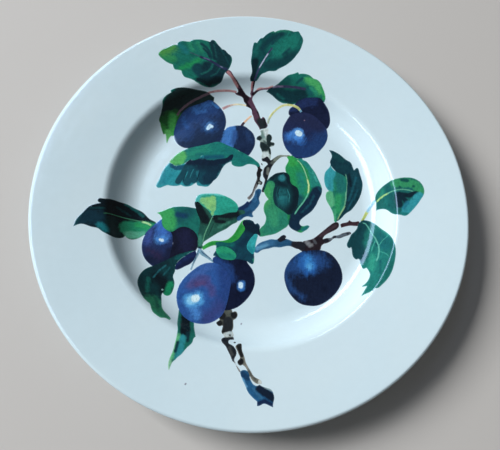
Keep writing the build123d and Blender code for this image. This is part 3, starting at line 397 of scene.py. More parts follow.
mark(
    "leaf_top_left", (24, 110, 96), 156,
    wash((44, 132, 84), 5, 4, -60, 100.5, -53, 98.5),
    wash((74, 146, 70), 5, 6, -60, 103, -55, 105, -52.5, 106),
    wash((26, 110, 112), 3, 3, -49.5, 110, -46, 106.5, -44, 104),
    wash((38, 130, 100), 2.6, 3, -42, 111, -39.5, 106),
    wash((36, 126, 98), 2.6, 3, -36.5, 111, -33.5, 105.5),
    wash((32, 136, 84), 3.6, 3.5, -47.5, 91.5, -42, 94.5, -35.5, 98.5),
    wash((18, 64, 72), 8, 2, -36, 92.2, -33.5, 89.6),
    wash((14, 48, 58), 9, 3, -29.5, 93.5, -21.5, 91.5, -22, 88, -30, 87.6),
    wash((15, 50, 58), 10, 2.5, -22, 107, -18.5, 101, -19.5, 95.5),
    wash((15, 52, 60), 4.4, 1.5, -27, 112.6, -25, 107, -24.2, 101),
    wash((16, 60, 68), 1.8, 1.2, -34, 110.5, -30.5, 108, -28.2, 104.5, -27.2, 100.5),
    wash((14, 50, 60), 1.4, 1, -32.4, 107.2, -29.4, 104, -28.4, 101.4),
    wash((24, 76, 78), 0.9, 0.8, -25.6, 110.5, -24.4, 105, -23.6, 101),
    wash((20, 66, 72), 0.9, 0.8, -21, 107.5, -17.4, 101.5, -15.6, 97),
    wash((26, 92, 88), 1.2, 1.2, -26.2, 96.2, -27, 92.8, -30, 90.2, -33.5, 88.6),
    wash((22, 78, 80), 0.9, 0.9, -21.4, 93, -23.4, 89.6, -27.4, 87.2),
    wash((9, 34, 42), 3.6, 2.4, -35.5, 84.4, -29, 82.8, -22, 86),
    vein((38, 48, 78), 1.7, -15.6, 92.4, -20.5, 93.9, -23.3, 95.9, -26.6, 97.8, -29.4, 99.2, -32.7, 100.3,
         -35.5, 101.4),
    vein((50, 84, 92), 0.8, -34.4, 101, -39.7, 103.2, -42, 104),
    vein((88, 98, 136), 0.8, -27.6, 98.6, -29.6, 99.6, -32.8, 100.6),
    vein((104, 116, 146), 0.8, -19, 93.6, -21.6, 95))
mark(
    "leaf_top_middle", (16, 76, 78), 62,
    wash((24, 112, 100), 12, 7, 18, 107, 24, 112, 28, 115),
    wash((22, 94, 90), 4, 4, 2.6, 106, 4.6, 112),
    wash((14, 58, 66), 3.4, 3, 7, 109, 13.5, 116, 21, 119.6),
    wash((15, 66, 72), 2.6, 3, 21.6, 105, 25.4, 108.4),
    wash((15, 60, 66), 6, 5, 11.5, 96, 21, 98.8, 28, 103.6),
    wash((9, 36, 44), 4.6, 2.4, 0.6, 88, 1.8, 94, 2.6, 99),
    wash((34, 112, 92), 1.6, 1.4, 14, 120.6, 20, 122.2, 27, 122),
    wash((26, 106, 98), 2.6, 3, 31.6, 119, 33.4, 113),
    wash((16, 66, 72), 1.4, 1.4, 14, 112, 18.6, 117.4),
    wash((22, 92, 88), 1.1, 1.2, 9.6, 99.4, 14.6, 104),
    wash((30, 118, 104), 1.2, 1.4, 19, 104.6, 26, 111),
    vein((52, 58, 92), 1.2, 1.8, 86.5, 2.9, 88.4, 4, 91.5, 5.4, 94.6, 7, 97.8, 8.8, 101, 10.6, 103.9,
         12.2, 106.6, 14.6, 109.6),
    vein((176, 192, 218), 0.75, 5, 94, 7, 97.8, 8.8, 101, 10.6, 103.9, 11.4, 105.4))
mark(
    "leaf_top_right", (24, 108, 96), 168,
    wash((18, 80, 78), 6, 3, 18, 84, 24, 86),
    wash((13, 52, 60), 8, 3, 13, 81.5, 20, 79, 27, 77, 34, 77.4),
    wash((20, 82, 82), 1.6, 1.4, 18, 79.4, 22, 76.4),
    wash((16, 72, 76), 1.8, 1.4, 30.6, 84.2, 34, 87),
    wash((68, 160, 96), 5, 3, 38, 86, 43.5, 83, 46, 78.4),
    wash((40, 134, 104), 2, 1.6, 39.6, 80.4, 43.6, 76.8),
    wash((22, 92, 92), 2, 1.6, 37.4, 80, 40.4, 77),
    wash((44, 138, 84), 2.2, 1.6, 47.4, 80, 48.8, 73.4),
    vein((54, 58, 88), 1.2, 14, 83.4, 19.2, 83.4, 24.6, 82.9, 29.6, 82, 33, 81.1, 37, 80),
    vein((104, 100, 128), 0.9, 14, 83.5, 18, 83.6, 22, 83.2))
mark(
    "leaf_dark", (20, 42, 44), 28,
    wash((12, 90, 82), 2.6, 1.8, -52, 76.8, -57.6, 72.4, -59.4, 66.4),
    wash((30, 88, 44), 7, 3, -58.6, 56.5, -54.4, 60, -50, 62),
    wash((62, 150, 74), 4.6, 2.5, -52.2, 61, -52.6, 55, -53, 48.6),
    wash((46, 122, 56), 4, 2.5, -58.8, 53.6, -56, 51),
    wash((84, 166, 92), 4, 1.8, -55.4, 50.4, -56, 44),
    wash((16, 44, 44), 1.2, 1, -52, 72.6, -44, 75.4, -36, 77),
    vein((96, 80, 92), 1.3, -26.6, 78.8, -29.5, 77.8, -33.4, 75.9, -37.7, 73.5, -42, 70.6, -44.9, 68.2,
         -47.8, 65.2, -49.7, 62))
mark(
    "plum_top_left", (28, 47, 82), 50,
    wash((25, 43, 72), 9, 7, -47, 47, -38, 43, -24, 48),
    wash((36, 64, 114), 14, 8, -46, 52, -44, 60, -36, 66, -28, 70),
    wash((50, 96, 160), 3.4, 4, -38, 67.5, -33, 69.6, -29, 71.5),
    wash((54, 100, 164), 2.2, 2.4, -36.4, 66, -31, 67.4),
    wash((42, 82, 142), 2.6, 3, -45.4, 61, -43, 55),
    wash((56, 108, 170), 1.6, 1.2, -26, 72.6, -22.4, 70),
    wash((36, 70, 122), 8, 7, -29, 56, -27, 56),
    wash((74, 128, 186), 3.6, 3, -29, 54.6, -27.4, 56.8),
    wash((190, 224, 245), 2.4, 0.8, -28.8, 54.2, -27.7, 56.4, -26.4, 55.6))
mark(
    "plum_top_left_behind", (26, 44, 77), 80,
    wash((64, 118, 186), 8.4, 2.4, -14.4, 56, -14.6, 48, -17, 40),
    wash((46, 82, 140), 3, 3, -11, 52, -12, 44),
    wash((34, 58, 98), 3, 4, -3, 52, -0.6, 46))
mark(
    "leaf_long_face", (28, 122, 114), 8,
    wash((36, 132, 112), 5, 5, -40, 35, -30, 39.6),
    wash((24, 108, 106), 4, 4, -16, 38, -8, 33, -4, 30),
    wash((84, 172, 98), 7.6, 2.6, -53, 28.8, -49, 31.5, -46.4, 34),
    wash((84, 172, 98), 5, 2, -46.6, 34.6, -46.2, 30),
    wash((20, 84, 104), 3, 2.6, -30.4, 32.8, -25, 33.4, -19, 33.4),
    wash((24, 104, 104), 1.4, 2, -36, 35, -32, 35.6),
    vein((20, 96, 98), 0.5, -13, 35, -12.6, 31.4))
mark(
    "leaf_long_underside", (46, 150, 163), 68,
    wash((34, 132, 146), 4, 4, -56, 16, -52, 20),
    wash((22, 80, 106), 3.2, 1, -51.6, 26.6, -48.6, 25.2, -44, 25.8),
    wash((20, 68, 82), 4, 1, -41.6, 27, -44.6, 21, -47.4, 15.8),
    wash((22, 76, 90), 5, 1, -37.4, 25, -40, 19, -41.6, 15.2),
    wash((21, 72, 87), 5, 1.6, -40, 26.4, -38, 20, -37.4, 17),
    wash((19, 64, 80), 8, 1.4, -31.6, 25, -31, 20.6, -30.6, 17.6),
    wash((18, 50, 68), 8, 2, -25, 26, -25.6, 21, -27.6, 17.6),
    wash((16, 44, 62), 7, 4, -34, 27, -27, 26.4, -21, 26),
    wash((14, 34, 54), 5, 2.4, -41, 29.4, -34, 29.8, -26, 29.4, -18, 30.4, -13, 33.6),
    vein((44, 122, 134), 0.5, -37.4, 25, -39, 21.5, -40, 18),
    vein((36, 104, 118), 0.5, -34.4, 24, -35.4, 19.4),
    vein((14, 46, 60), 0.6, -42.4, 22, -43.6, 18, -44.6, 14.6),
    vein((14, 46, 60), 0.6, -33.4, 23, -34.8, 19, -35.6, 15.6))
mark(
    "plum_right", (33, 44, 82), 60,
    wash((30, 58, 106), 12, 9, 26, 40, 35, 37, 44, 42, 48, 49),
    wash((32, 40, 72), 8, 7, 28, 63, 38, 63, 46, 57),
    wash((56, 112, 188), 7, 5, 26, 49, 30.4, 50, 31.6, 47.4),
    wash((66, 128, 204), 4, 3, 27.4, 51, 29.6, 48.6),
    wash((82, 142, 212), 6.6, 2, 31.8, 52.4, 32.2, 51),
    wash((200, 232, 246), 4.3, 0.8, 31.6, 52, 32.3, 51.5),
    wash((136, 116, 140), 0.9, 0.6, 36.2, 61.5))
mark(
    "plum_right_behind", (20, 29, 57), 30,
    wash((32, 48, 90), 5, 4, 28, 70, 36, 73.6, 42, 73))
mark(
    "stalk_plum_right", (210, 216, 144), 45,
    wash((150, 168, 152), 4, 3, 11.4, 58.4, 12.4, 61.4),
    wash((108, 158, 188), 3.2, 1, 34.2, 67.6))
mark(
    "leaf_centre_blade", (38, 146, 88), 115,
    wash((50, 156, 78), 6, 3, 25, 33, 27, 30),
    wash((32, 130, 112), 5, 6, 32, 22, 33.4, 14, 31.6, 7),
    wash((36, 132, 120), 7, 1.6, 34.6, 33, 39.5, 28, 41.3, 21, 41.8, 14),
    wash((64, 160, 150), 1.2, 1, 40, 24, 42.4, 17),
    wash((24, 84, 90), 5, 4, 31.4, 5, 28, 0),
    wash((17, 42, 64), 9, 1.8, 42.5, 9, 39.5, 3, 33.4, -3, 28, -8, 27, -13),
    wash((20, 66, 84), 1.6, 1.6, 43.4, 13, 45.6, 9),
    wash((24, 74, 90), 1.2, 1.2, 40, 7, 37, 1, 31.6, -4.6),
    wash((28, 108, 110), 3, 2.4, 36, -14, 32.8, -16),
    vein((96, 184, 156), 0.8, 37, 10, 35.6, 6.6, 33, 2.4, 29.8, -1.6, 27, -6),
    vein((150, 208, 166), 0.55, 30, 32.3, 32.5, 29.5, 34.3, 26, 35.4, 22.5, 36.4, 18.5),
    vein((192, 222, 156), 0.95, 36.2, 19, 37.1, 14.5, 36.8, 10.4, 36.1, 8.4))
mark(
    "leaf_centre_lobe", (46, 138, 104), 100,
    wash((62, 156, 96), 8, 6, 9, 12, 8.5, 2),
    wash((38, 126, 104), 10, 7, 12, -15, 20, -10),
    wash((52, 146, 108), 5, 4, 13, -4, 14, -12))
mark(
    "leaf_centre_blot", (19, 60, 68), 80,
    wash((22, 82, 80), 3, 2, 9.5, 13, 13, 18.4),
    wash((30, 98, 104), 6, 7, 19.4, 8, 20, 3.6),
    wash((36, 110, 116), 2, 2.5, 18.6, 5, 21.4, 6),
    wash((12, 32, 42), 5, 4, 27, 14, 28.6, 8, 27.4, 1, 24.2, -4),
    wash((13, 36, 46), 3, 2, 13, 18.8, 16, 21.8, 20, 22.4, 23.6, 20.4, 24.4, 16),
    wash((13, 38, 48), 3, 3, 17.4, 15.2, 22, 14),
    wash((46, 124, 134), 4.2, 2, 19.7, 19.2),
    wash((16, 52, 62), 1.4, 1.2, 15.4, 12, 14.6, 6, 15.6, 1),
    vein((12, 34, 44), 0.6, 18, 13, 16.6, 9, 17, 5),
    vein((44, 120, 124), 0.5, 22.6, 12, 24.4, 7, 23.6, 2))
mark(
    "leaf_upright_right", (17, 56, 68), 75,
    wash((20, 64, 76), 4, 4, 67, 24, 70, 14),
    wash((20, 66, 72), 3.6, 3, 55, 36, 60, 32.6),
    wash((18, 60, 70), 3, 3, 57, 28, 63, 27),
    wash((26, 84, 98), 1.1, 1.2, 62.6, 4, 66, 12, 68.6, 20),
    wash((24, 80, 94), 1, 1.2, 61.4, -2, 66, 5, 69.6, 12),
    wash((10, 32, 44), 1.4, 1.4, 64, 22, 64.6, 14),
    vein((108, 176, 146), 0.5, 59.9, 0.3, 60.9, 4.5, 61.6, 10.2, 62.3, 15.9, 62.3, 19.6, 61.8, 22.7),
    vein((140, 190, 136), 0.8, 54.4, -9.6, 55.9, -6.4, 58.5, -2.3, 60.2, 0.6))
mark(
    "leaf_upright_left", (36, 130, 104), 82,
    wash((30, 108, 104), 7, 3.5, 57, 23, 58.4, 13),
    wash((52, 150, 162), 7.4, 2, 49.6, 13, 49.4, 19, 52, 25),
    wash((86, 174, 128), 5.4, 2, 49.8, 8, 51, 2),
    wash((44, 146, 96), 4, 3, 56, 6, 54.4, -4),
    wash((66, 160, 118), 2, 2, 52.8, -3, 53, -9),
    vein((112, 184, 150), 0.5, 55.5, -6.6, 58.1, -2.3, 59.7, 0.6, 60.5, 4.5, 61.2, 10.2))
mark(
    "leaf_far_right", (27, 100, 98), 70,
    wash((36, 122, 104), 3, 3, 81.6, 5, 84, 9),
    wash((22, 84, 86), 3, 3, 86, 10, 88, 3, 88, -4),
    wash((50, 140, 96), 6, 2.4, 91, 12, 97, 12, 102, 11, 105.4, 6),
    wash((18, 78, 74), 1.8, 1.2, 93, 9),
    wash((18, 78, 74), 2.2, 1.2, 94.6, 14, 98, 13.4),
    wash((18, 78, 74), 1.8, 1.2, 101.4, 9.4),
    wash((14, 42, 54), 4, 1.2, 91.6, 4, 91.6, -2.6),
    wash((14, 38, 50), 3.4, 1.2, 93, 4, 98, 3.4, 102.6, 4.6),
    wash((14, 42, 54), 3, 1.2, 94, 2, 96, -0.4),
    wash((48, 144, 156), 6.6, 1.4, 95.4, -7.4, 99.4, -3.4, 104.4, 2),
    wash((34, 116, 136), 2, 1.6, 94.2, -5, 97, -1),
    wash((28, 112, 112), 2, 1.4, 92, -8.4, 96, -9),
    vein((92, 168, 142), 0.7, 84.4, 5.8, 87.9, 6.8, 91.3, 7.4, 94.8, 7.6, 98.2, 7, 101.1, 5.9),
    vein((150, 194, 126), 1, 79.8, 2, 82.1, 4.2, 84.4, 5.7, 86.6, 6.4))
mark(
    "stalk_far_right", (180, 200, 112), 60,
    wash((150, 200, 225), 5, 1.6, 75.5, -2, 80.2, 3.8))
mark(
    "leaf_lower_right", (30, 112, 106), 72,
    wash((17, 64, 72), 11, 3, 69.6, -11, 66, -17, 64, -25, 66, -32),
    wash((22, 90, 94), 7, 4, 80, -21, 82, -28),
    wash((40, 130, 118), 3.4, 3, 81.6, -13, 84.4, -20),
    wash((28, 106, 102), 3, 3, 84, -34, 79, -45),
    wash((18, 74, 80), 1.4, 1.6, 74, -24, 78, -26.4),
    wash((44, 136, 118), 3, 3, 74.4, -34, 72.4, -42),
    wash((20, 84, 88), 1.1, 1.2, 77.6, -38, 76, -46),
    vein((56, 142, 130), 0.5, 78, -27.6, 81, -24, 84, -21.4),
    vein((56, 142, 130), 0.5, 78, -31, 80.6, -33, 82.6, -36.6),
    vein((60, 150, 136), 0.5, 77.2, -23.4, 75, -27.6, 74, -31),
    vein((88, 164, 150), 0.7, 70.1, -11, 72.4, -11.8, 74, -14.7, 75.4, -18.2, 77.2, -22.2, 78.3, -26.8,
         78.1, -30.8, 77, -34.8, 75.5, -37.7))
mark(
    "leaf_left", (9, 25, 33), 172,
    wash((14, 46, 60), 9, 5, -104, -14.6, -98, -13, -93, -13),
    wash((18, 64, 72), 2, 1.6, -103, -10, -106, -17.6),
    wash((26, 112, 122), 4, 2.4, -91.6, -17.6, -87.4, -20),
    wash((14, 46, 48), 6, 4, -85.4, -14, -83, -21),
    wash((34, 134, 100), 8, 2, -78, -16, -70, -15.5, -62, -16),
    wash((40, 148, 92), 3, 2.4, -72, -13.6, -65, -15),
    wash((86, 168, 140), 4.6, 2, -76.6, -20.8, -67.4, -20.4),
    wash((18, 84, 84), 1.8, 1.5, -79, -0.9, -74, -3.6, -68, -8),
    wash((14, 52, 56), 1.2, 1.2, -84, -4, -76, -8),
    wash((16, 58, 62), 1, 1, -98, -7, -90, -6.4),
    vein((62, 128, 98), 0.65, -68.4, -11.6, -72.7, -10.9, -76.9, -10.3, -81.7, -9.7, -86, -9.3,
         -90.4, -9.8),
    vein((160, 212, 152), 1.2, -62.6, -14.2, -65.2, -12.7, -69.2, -11.5))
mark(
    "leaf_over_left_plum", (26, 110, 100), 120,
    wash((22, 84, 88), 8, 5, -46, -9, -39, -4),
    wash((56, 156, 90), 9, 4, -58, -5.5, -53.5, -6, -52, -13),
    wash((20, 60, 90), 3.4, 2.4, -46.8, -6.6, -41.8, -7.4))
mark(
    "plum_left", (32, 48, 90), 70,
    wash((20, 30, 56), 7, 5, -63, -36, -54, -36),
    wash((54, 76, 140), 5, 5, -63.6, -16, -64.6, -24),
    wash((40, 36, 68), 4, 5, -64, -30, -57, -33),
    wash((22, 30, 58), 4, 3, -51.4, -30, -51.6, -38),
    wash((58, 106, 184), 8, 5, -57, -12, -56.4, -18, -55, -21),
    wash((72, 132, 204), 5.4, 3, -58, -23, -54.4, -22.6),
    wash((206, 232, 246), 1.9, 0.9, -57, -23.2, -55.6, -23.6))
mark(
    "plum_left_behind", (20, 24, 45), 90,
    wash((26, 30, 58), 8, 5, -42, -20, -40, -28))
mark(
    "plum_left_sliver", (25, 40, 85), 40,
    wash((18, 28, 60), 3, 2, -45, -41, -37, -36))
mark(
    "leaf_two_tone_face", (42, 160, 140), 170,
    wash((36, 146, 126), 4, 3, -18, -4, -11, -3),
    wash((132, 197, 126), 4, 1.2, -25, 4.4, -25, -2.4),
    wash((134, 198, 124), 5, 1.6, -28.4, 3, -26.6, -0.8),
    wash((126, 192, 128), 3.6, 2, -31.6, 3.4, -29, 0.8),
    wash((118, 188, 124), 1.8, 0.9, -24.8, -2, -25.1, -6.4),
    wash((72, 176, 172), 2.6, 1.6, -35, 3, -33.4, 6),
    wash((104, 204, 200), 1.6, 1.4, -33, 7.2, -26, 7.8, -18, 6.8))
mark(
    "leaf_two_tone_underside", (38, 92, 80), 80,
    wash((30, 78, 70), 3, 3, -32.4, -12, -32.4, -19),
    wash((14, 26, 32), 6.4, 2.4, -35.6, 1, -32.6, -5, -29.6, -10),
    wash((15, 28, 34), 5, 2.6, -23.5, -8.6, -17, -8, -10, -6),
    wash((28, 64, 58), 1.6, 1.4, -21, -9.4, -15, -9.6),
    wash((14, 26, 32), 2.2, 1.4, -22.6, -11, -17.4, -11.4),
    wash((54, 116, 98), 1.4, 1.4, -21, -15, -14.4, -11.6),
    wash((56, 122, 104), 3, 2.4, -32.6, -21.6, -32.4, -26),
    wash((28, 56, 66), 2.6, 1, -32.8, -28.6),
    vein((104, 176, 140), 0.45, -25.2, -8, -26, -10.4, -27.4, -13.8, -28.8, -17, -29.8, -20, -30.5, -23,
         -30.9, -25),
    vein((26, 58, 54), 0.5, -24, -12, -26, -17, -27.6, -21))
mark(
    "leaf_ribbon", (50, 160, 70), 35,
    wash((36, 138, 62), 3, 2.5, -26, -26.5, -14, -24, -7, -14))
mark(
    "leaf_lower_middle", (19, 66, 84), 60,
    wash((13, 34, 50), 8, 4, -5, -13, 0, -15, 4, -18),
    wash((15, 46, 66), 4, 4, -7, -26, -3, -22),
    wash((18, 92, 92), 3.6, 2, -21, -26, -13, -26),
    wash((16, 56, 74), 2, 2, -9, -36, -4, -33),
    wash((40, 140, 116), 2.4, 1.5, 1, -36))
mark(
    "leaf_lower_middle_petal", (40, 155, 115), 150,
    wash((28, 130, 108), 3, 2, -20, -33, -12, -34))
mark(
    "leaf_lower_middle_strip", (50, 165, 170), 75,
    wash((36, 140, 150), 2, 1.5, -2.5, -28, 0.5, -31))
mark(
    "plum_front", (46, 90, 160), 70,
    wash((37, 66, 126), 10, 8, -17, -42, -15, -52, -18.5, -62),
    wash((52, 66, 124), 9, 8, -28, -72, -21, -66),
    wash((60, 96, 162), 5, 5, -36, -46, -27, -40),
    wash((70, 128, 196), 5, 5, -36, -64, -33.4, -70),
    wash((72, 76, 132), 5, 5, -38, -52, -34, -49.4, -29, -48),
    wash((68, 74, 132), 4, 4, -28, -49.6, -25, -53, -24.6, -57),
    wash((82, 70, 120), 2.4, 2.4, -34, -51, -29.6, -50),
    wash((86, 164, 222), 8, 4, -37, -60.4, -33.6, -60),
    wash((140, 204, 240), 5, 2, -37, -60.6, -35, -60),
    wash((206, 236, 246), 4.4, 1.2, -34.8, -59.6, -34, -59.4))
mark(
    "plum_front_behind", (16, 25, 52), 80,
    wash((32, 62, 118), 6, 5, -23, -36, -15.5, -40.6, -13.5, -47),
    wash((58, 116, 186), 4.2, 2, -6.8, -50.8, -7, -52.8),
    wash((200, 230, 246), 2.6, 0.8, -7.3, -50.8, -7.3, -52.3))
mark(
    "stalk_fork_left", (120, 165, 190), 100,
    vein((50, 80, 110), 0.5, -33.2, -29, -34.2, -33, -36.5, -39))
mark(
    "stalk_fork_right", (120, 165, 190), 140,
    vein((50, 80, 110), 0.6, -32, -30, -29.5, -32.2, -25, -35.6))
mark(
    "plum_round", (19, 30, 54), 85,
    wash((34, 66, 116), 3, 4, 21, -38, 20.6, -46, 23.5, -54, 30, -59),
    wash((34, 70, 124), 10, 8, 26, -40, 32, -37, 42, -36),
    wash((42, 98, 170), 9, 7, 32, -36, 34.6, -40),
    wash((56, 130, 200), 5, 4, 34.6, -35, 35.2, -39),
    wash((84, 160, 216), 3.4, 3, 35.2, -39.8))
mark(
    "leaf_curled_left", (14, 56, 62), 110,
    wash((9, 24, 32), 7, 5, -58, -46, -54, -50, -52, -55),
    wash((13, 40, 48), 3, 3, -60, -42, -52, -38),
    wash((18, 80, 82), 2.6, 2, -46, -34.8, -38, -31),
    wash((22, 98, 90), 2, 2, -63, -48, -62.4, -56),
    wash((22, 126, 88), 4, 1.8, -49.5, -51, -51, -57),
    wash((40, 120, 90), 9, 4, -60, -63, -54, -68, -49, -72),
    wash((24, 86, 72), 1.6, 1.6, -57.4, -60, -55.6, -66),
    wash((30, 92, 102), 0.9, 0.9, -53, -39.5, -57, -43, -60, -47),
    wash((22, 80, 88), 0.9, 0.9, -50.6, -41, -54, -45.4),
    wash((150, 190, 190), 1, 0.6, -54.2, -54.5))
mark(
    "leaf_bottom", (26, 104, 94), 84,
    wash((8, 25, 35), 5.5, 1.6, -39.5, -68, -39.3, -80),
    wash((12, 45, 55), 2.2, 1.4, -37.6, -81, -37.6, -85),
    wash((42, 132, 142), 4, 1.8, -40.5, -84, -42.5, -94),
    wash((88, 176, 126), 2.2, 1.4, -43, -82, -44.2, -87, -46.2, -94.5),
    wash((12, 50, 62), 1.8, 1.4, -43, -86, -44.2, -91),
    wash((120, 182, 144), 2.5, 1.5, -47, -96, -47.2, -100))
mark(
    "twig_top", (84, 58, 78), 130,
    wash((28, 19, 28), 2.2, 1, -12.6, 89.4, -8.6, 85.2, -5, 81.8, -2, 79.8),
    wash((176, 126, 130), 1.8, 0.9, -15.8, 90.6, -12.4, 87, -9.6, 83.8),
    wash((28, 19, 28), 4.6, 1.6, -8.6, 80.4, -4.6, 80, -3.4, 77),
    wash((24, 18, 26), 2.2, 1.2, -4.4, 76, -1.6, 71.4, 0.2, 68.6),
    wash((24, 18, 26), 2, 1.2, 4.4, 70, 6, 64.8, 6.8, 61),
    wash((164, 112, 116), 1.7, 0.8, 0.6, 86.6, -0.2, 82.4),
    wash((26, 19, 27), 1.4, 0.8, 2.2, 86.5, 1.6, 83.5),
    wash((186, 136, 138), 1.5, 0.7, 3.4, 82.8, 8, 83.7, 14.5, 84),
    wash((24, 18, 26), 2, 0.8, 1.4, 79.8, 4.4, 81),
    wash((34, 40, 46), 5, 2.4, 6.2, 60.4, 8, 55.8),
    wash((28, 32, 36), 2, 1, 9, 62, 9.2, 58))
mark(
    "twig_knots", (156, 180, 176), 90,
    wash((196, 212, 214), 4, 2, 10, 53.6, 10.4, 50.6),
    wash((112, 140, 136), 2.4, 1.8, 7, 52.4, 7.8, 48.6),
    wash((196, 212, 214), 4.4, 1.6, 9.4, 35.8, 9.4, 33.8),
    wash((28, 42, 45), 3.8, 0.9, 5.2, 47.6),
    wash((28, 42, 45), 3.8, 0.9, 12, 49, 12, 43.6),
    wash((28, 42, 45), 2.6, 0.8, 14.6, 43.4),
    wash((28, 42, 45), 4.8, 1.6, 8.4, 42.6, 9.4, 40.2),
    wash((28, 42, 45), 2.6, 0.9, 6.8, 43.6, 7.4, 39),
    wash((28, 42, 45), 2.2, 0.9, 11.6, 41, 12.8, 36.6),
    wash((72, 92, 92), 1.4, 1, 8.4, 45.6, 9.8, 44))
mark(
    "twig_left_strand", (110, 110, 112), 65,
    wash((24, 26, 30), 5.5, 1.4, 4.6, 27, 4.8, 20),
    wash((30, 34, 36), 4.2, 0.8, 5, 15.5),
    wash((128, 136, 134), 1.7, 0.6, 5, 15.4),
    vein((40, 44, 50), 0.6, 3.6, 18.5, 2.4, 14.5, 0.9, 9.5, -1.2, 6))
mark(
    "twig_right_strand", (30, 34, 42), 70,
    wash((106, 112, 108), 1.8, 0.9, 10.4, 21.8, 10.8, 25.6),
    wash((74, 82, 80), 2, 1, 13.4, 29.6, 16.4, 32),
    wash((112, 124, 114), 2.2, 0.9, 15.4, 31.8, 19, 34.6, 26, 35),
    wash((62, 74, 70), 1, 0.7, 17.6, 32.4, 20.6, 34))
mark(
    "twig_blue_bend", (38, 88, 130), 55,
    wash((22, 44, 82), 3.4, 2, -8, -4, -3.5, 0.5, -1.5, 2.4),
    wash((50, 102, 146), 2, 1.8, 2, 3, 3.4, 7),
    wash((28, 68, 104), 1.8, 1.6, 3.6, 10, 4.6, 4),
    wash((26, 64, 98), 2, 1.8, -6, -7.4, -1, -4))
mark(
    "twig_blue_branch", (52, 104, 146), 8,
    wash((90, 146, 182), 2.4, 2.4, 3, -28.6, 9, -26.4),
    wash((34, 80, 116), 6, 4, 17, -25, 23, -25),
    wash((36, 78, 112), 1.2, 1.2, 4, -30.4, 10, -27.6, 16, -26.4),
    wash((25, 30, 40), 3.6, 0.8, 17.4, -22.4, 19.8, -21.4),
    wash((32, 34, 42), 9, 2, 28.5, -26.5, 33, -27))
mark(
    "twig_brown_branch", (38, 30, 38), 42,
    wash((62, 48, 56), 1.8, 1.4, 43, -20, 48, -16.5, 53, -13),
    wash((118, 122, 128), 3, 1.8, 34.5, -24.5, 36.5, -26),
    wash((78, 80, 88), 1.4, 1, 38.5, -22.6, 40, -25),
    wash((86, 98, 110), 1.8, 1, 48.5, -22, 56, -19.8, 61, -18.4),
    wash((30, 30, 40), 3.4, 0.8, 46.3, -22.8),
    wash((30, 34, 44), 2.4, 0.8, 51.8, -20.6),
    wash((34, 40, 50), 1.8, 0.8, 60.4, -18.4))
mark(
    "twig_outer_branch", (46, 29, 36), 8,
    wash((60, 42, 50), 1.6, 1.2, 58.5, -12.8, 66, -12))
mark(
    "twig_foot_knots", (86, 92, 86), 80,
    wash((34, 39, 44), 6.5, 1.8, -15, -73.5, -15.2, -77),
    wash((28, 30, 32), 4.6, 1, -18.3, -70),
    wash((28, 30, 32), 3.8, 1, -19.8, -74.3),
    wash((28, 30, 32), 4, 1, -11.2, -69.5),
    wash((28, 30, 32), 2.6, 0.9, -17.6, -79.2),
    wash((186, 200, 202), 3, 1.1, -16, -81.3, -13.2, -80.8),
    wash((70, 74, 74), 1.4, 0.8, -13.8, -81.6))
mark(
    "twig_foot_left_strand", (30, 35, 42), 115,
    wash((60, 64, 66), 1.6, 1, -14, -89, -12.5, -93),
    wash((112, 116, 116), 2, 1, -10.8, -97.5, -8.4, -102.4))
mark(
    "twig_foot_right_strand", (112, 114, 106), 115,
    wash((28, 30, 32), 3.4, 0.9, -8.6, -88),
    wash((28, 30, 32), 2.8, 1, -8.4, -89, -7.4, -93),
    wash((28, 30, 32), 3.8, 0.9, -8, -96.8),
    wash((80, 82, 78), 1.2, 0.8, -3, -102, 0, -106),
    wash((192, 202, 198), 2.2, 0.8, 2.6, -107.6))
mark(
    "twig_foot_blue", (36, 90, 134), 125,
    wash((26, 60, 94), 3, 1.6, -7, -103, -4, -105.5),
    wash((84, 142, 184), 1.4, 1, -7, -106, -4.8, -110),
    wash((50, 102, 140), 1.6, 1.6, -1, -111, 3, -116),
    wash((15, 30, 50), 4.4, 1.5, 2.4, -111, 6, -113.4, 9.4, -116),
    wash((20, 40, 74), 2.6, 1.4, 1.2, -119, 5, -117.6, 9.4, -119.8),
    wash((120, 148, 158), 1.2, 0.8, 5.5, -110.4, 9, -112))
mark(
    "stalk_red", (186, 136, 140), 5,
    wash((160, 110, 114), 0.9, 0.8, -28, 78.4, -20.4, 80.1, -11, 80.3))
mark(
    "stalk_plum_top_left", (204, 182, 168), 170,
    wash((224, 216, 172), 4, 5, -3, 71.9, -9, 72.8),
    wash((176, 140, 150), 4, 4, -16, 71, -19.4, 69.1))
mark(
    "stalk_plum_behind", (228, 184, 146), 45,
    wash((60, 50, 60), 3.6, 1, -5.8, 58, -6.6, 55.6))


# How far paint stands proud of the face, inside and at bare edges, how wide those edges round off, and
# the angle from which an edge is drawn sharp.
PAINT_HEIGHT = 0.065
PAINT_LIP = 0.025
EDGE_ROUND = 0.3
SHARP_ANGLE = 40
# Spacing of the points inside a mark, in rows offset like bricks, and along its outline, where points
# closer than the last number are thinned out.
GRID_STEP = 0.8
GRID_ROW = GRID_STEP * 0.866
OUTLINE_STEP = 0.6
SPECK_STEP = 0.4
CROWDED = 0.04
# How near the outline the row of points along the rounded edge and the points inside may come.
SHELF_GAP = EDGE_ROUND * 0.85
GRID_GAP = EDGE_ROUND + 0.3
# How far outside a side to look for bare glaze, and how far inside it matters.
BARE_PROBE = 0.12
BARE_REACH = 5.0


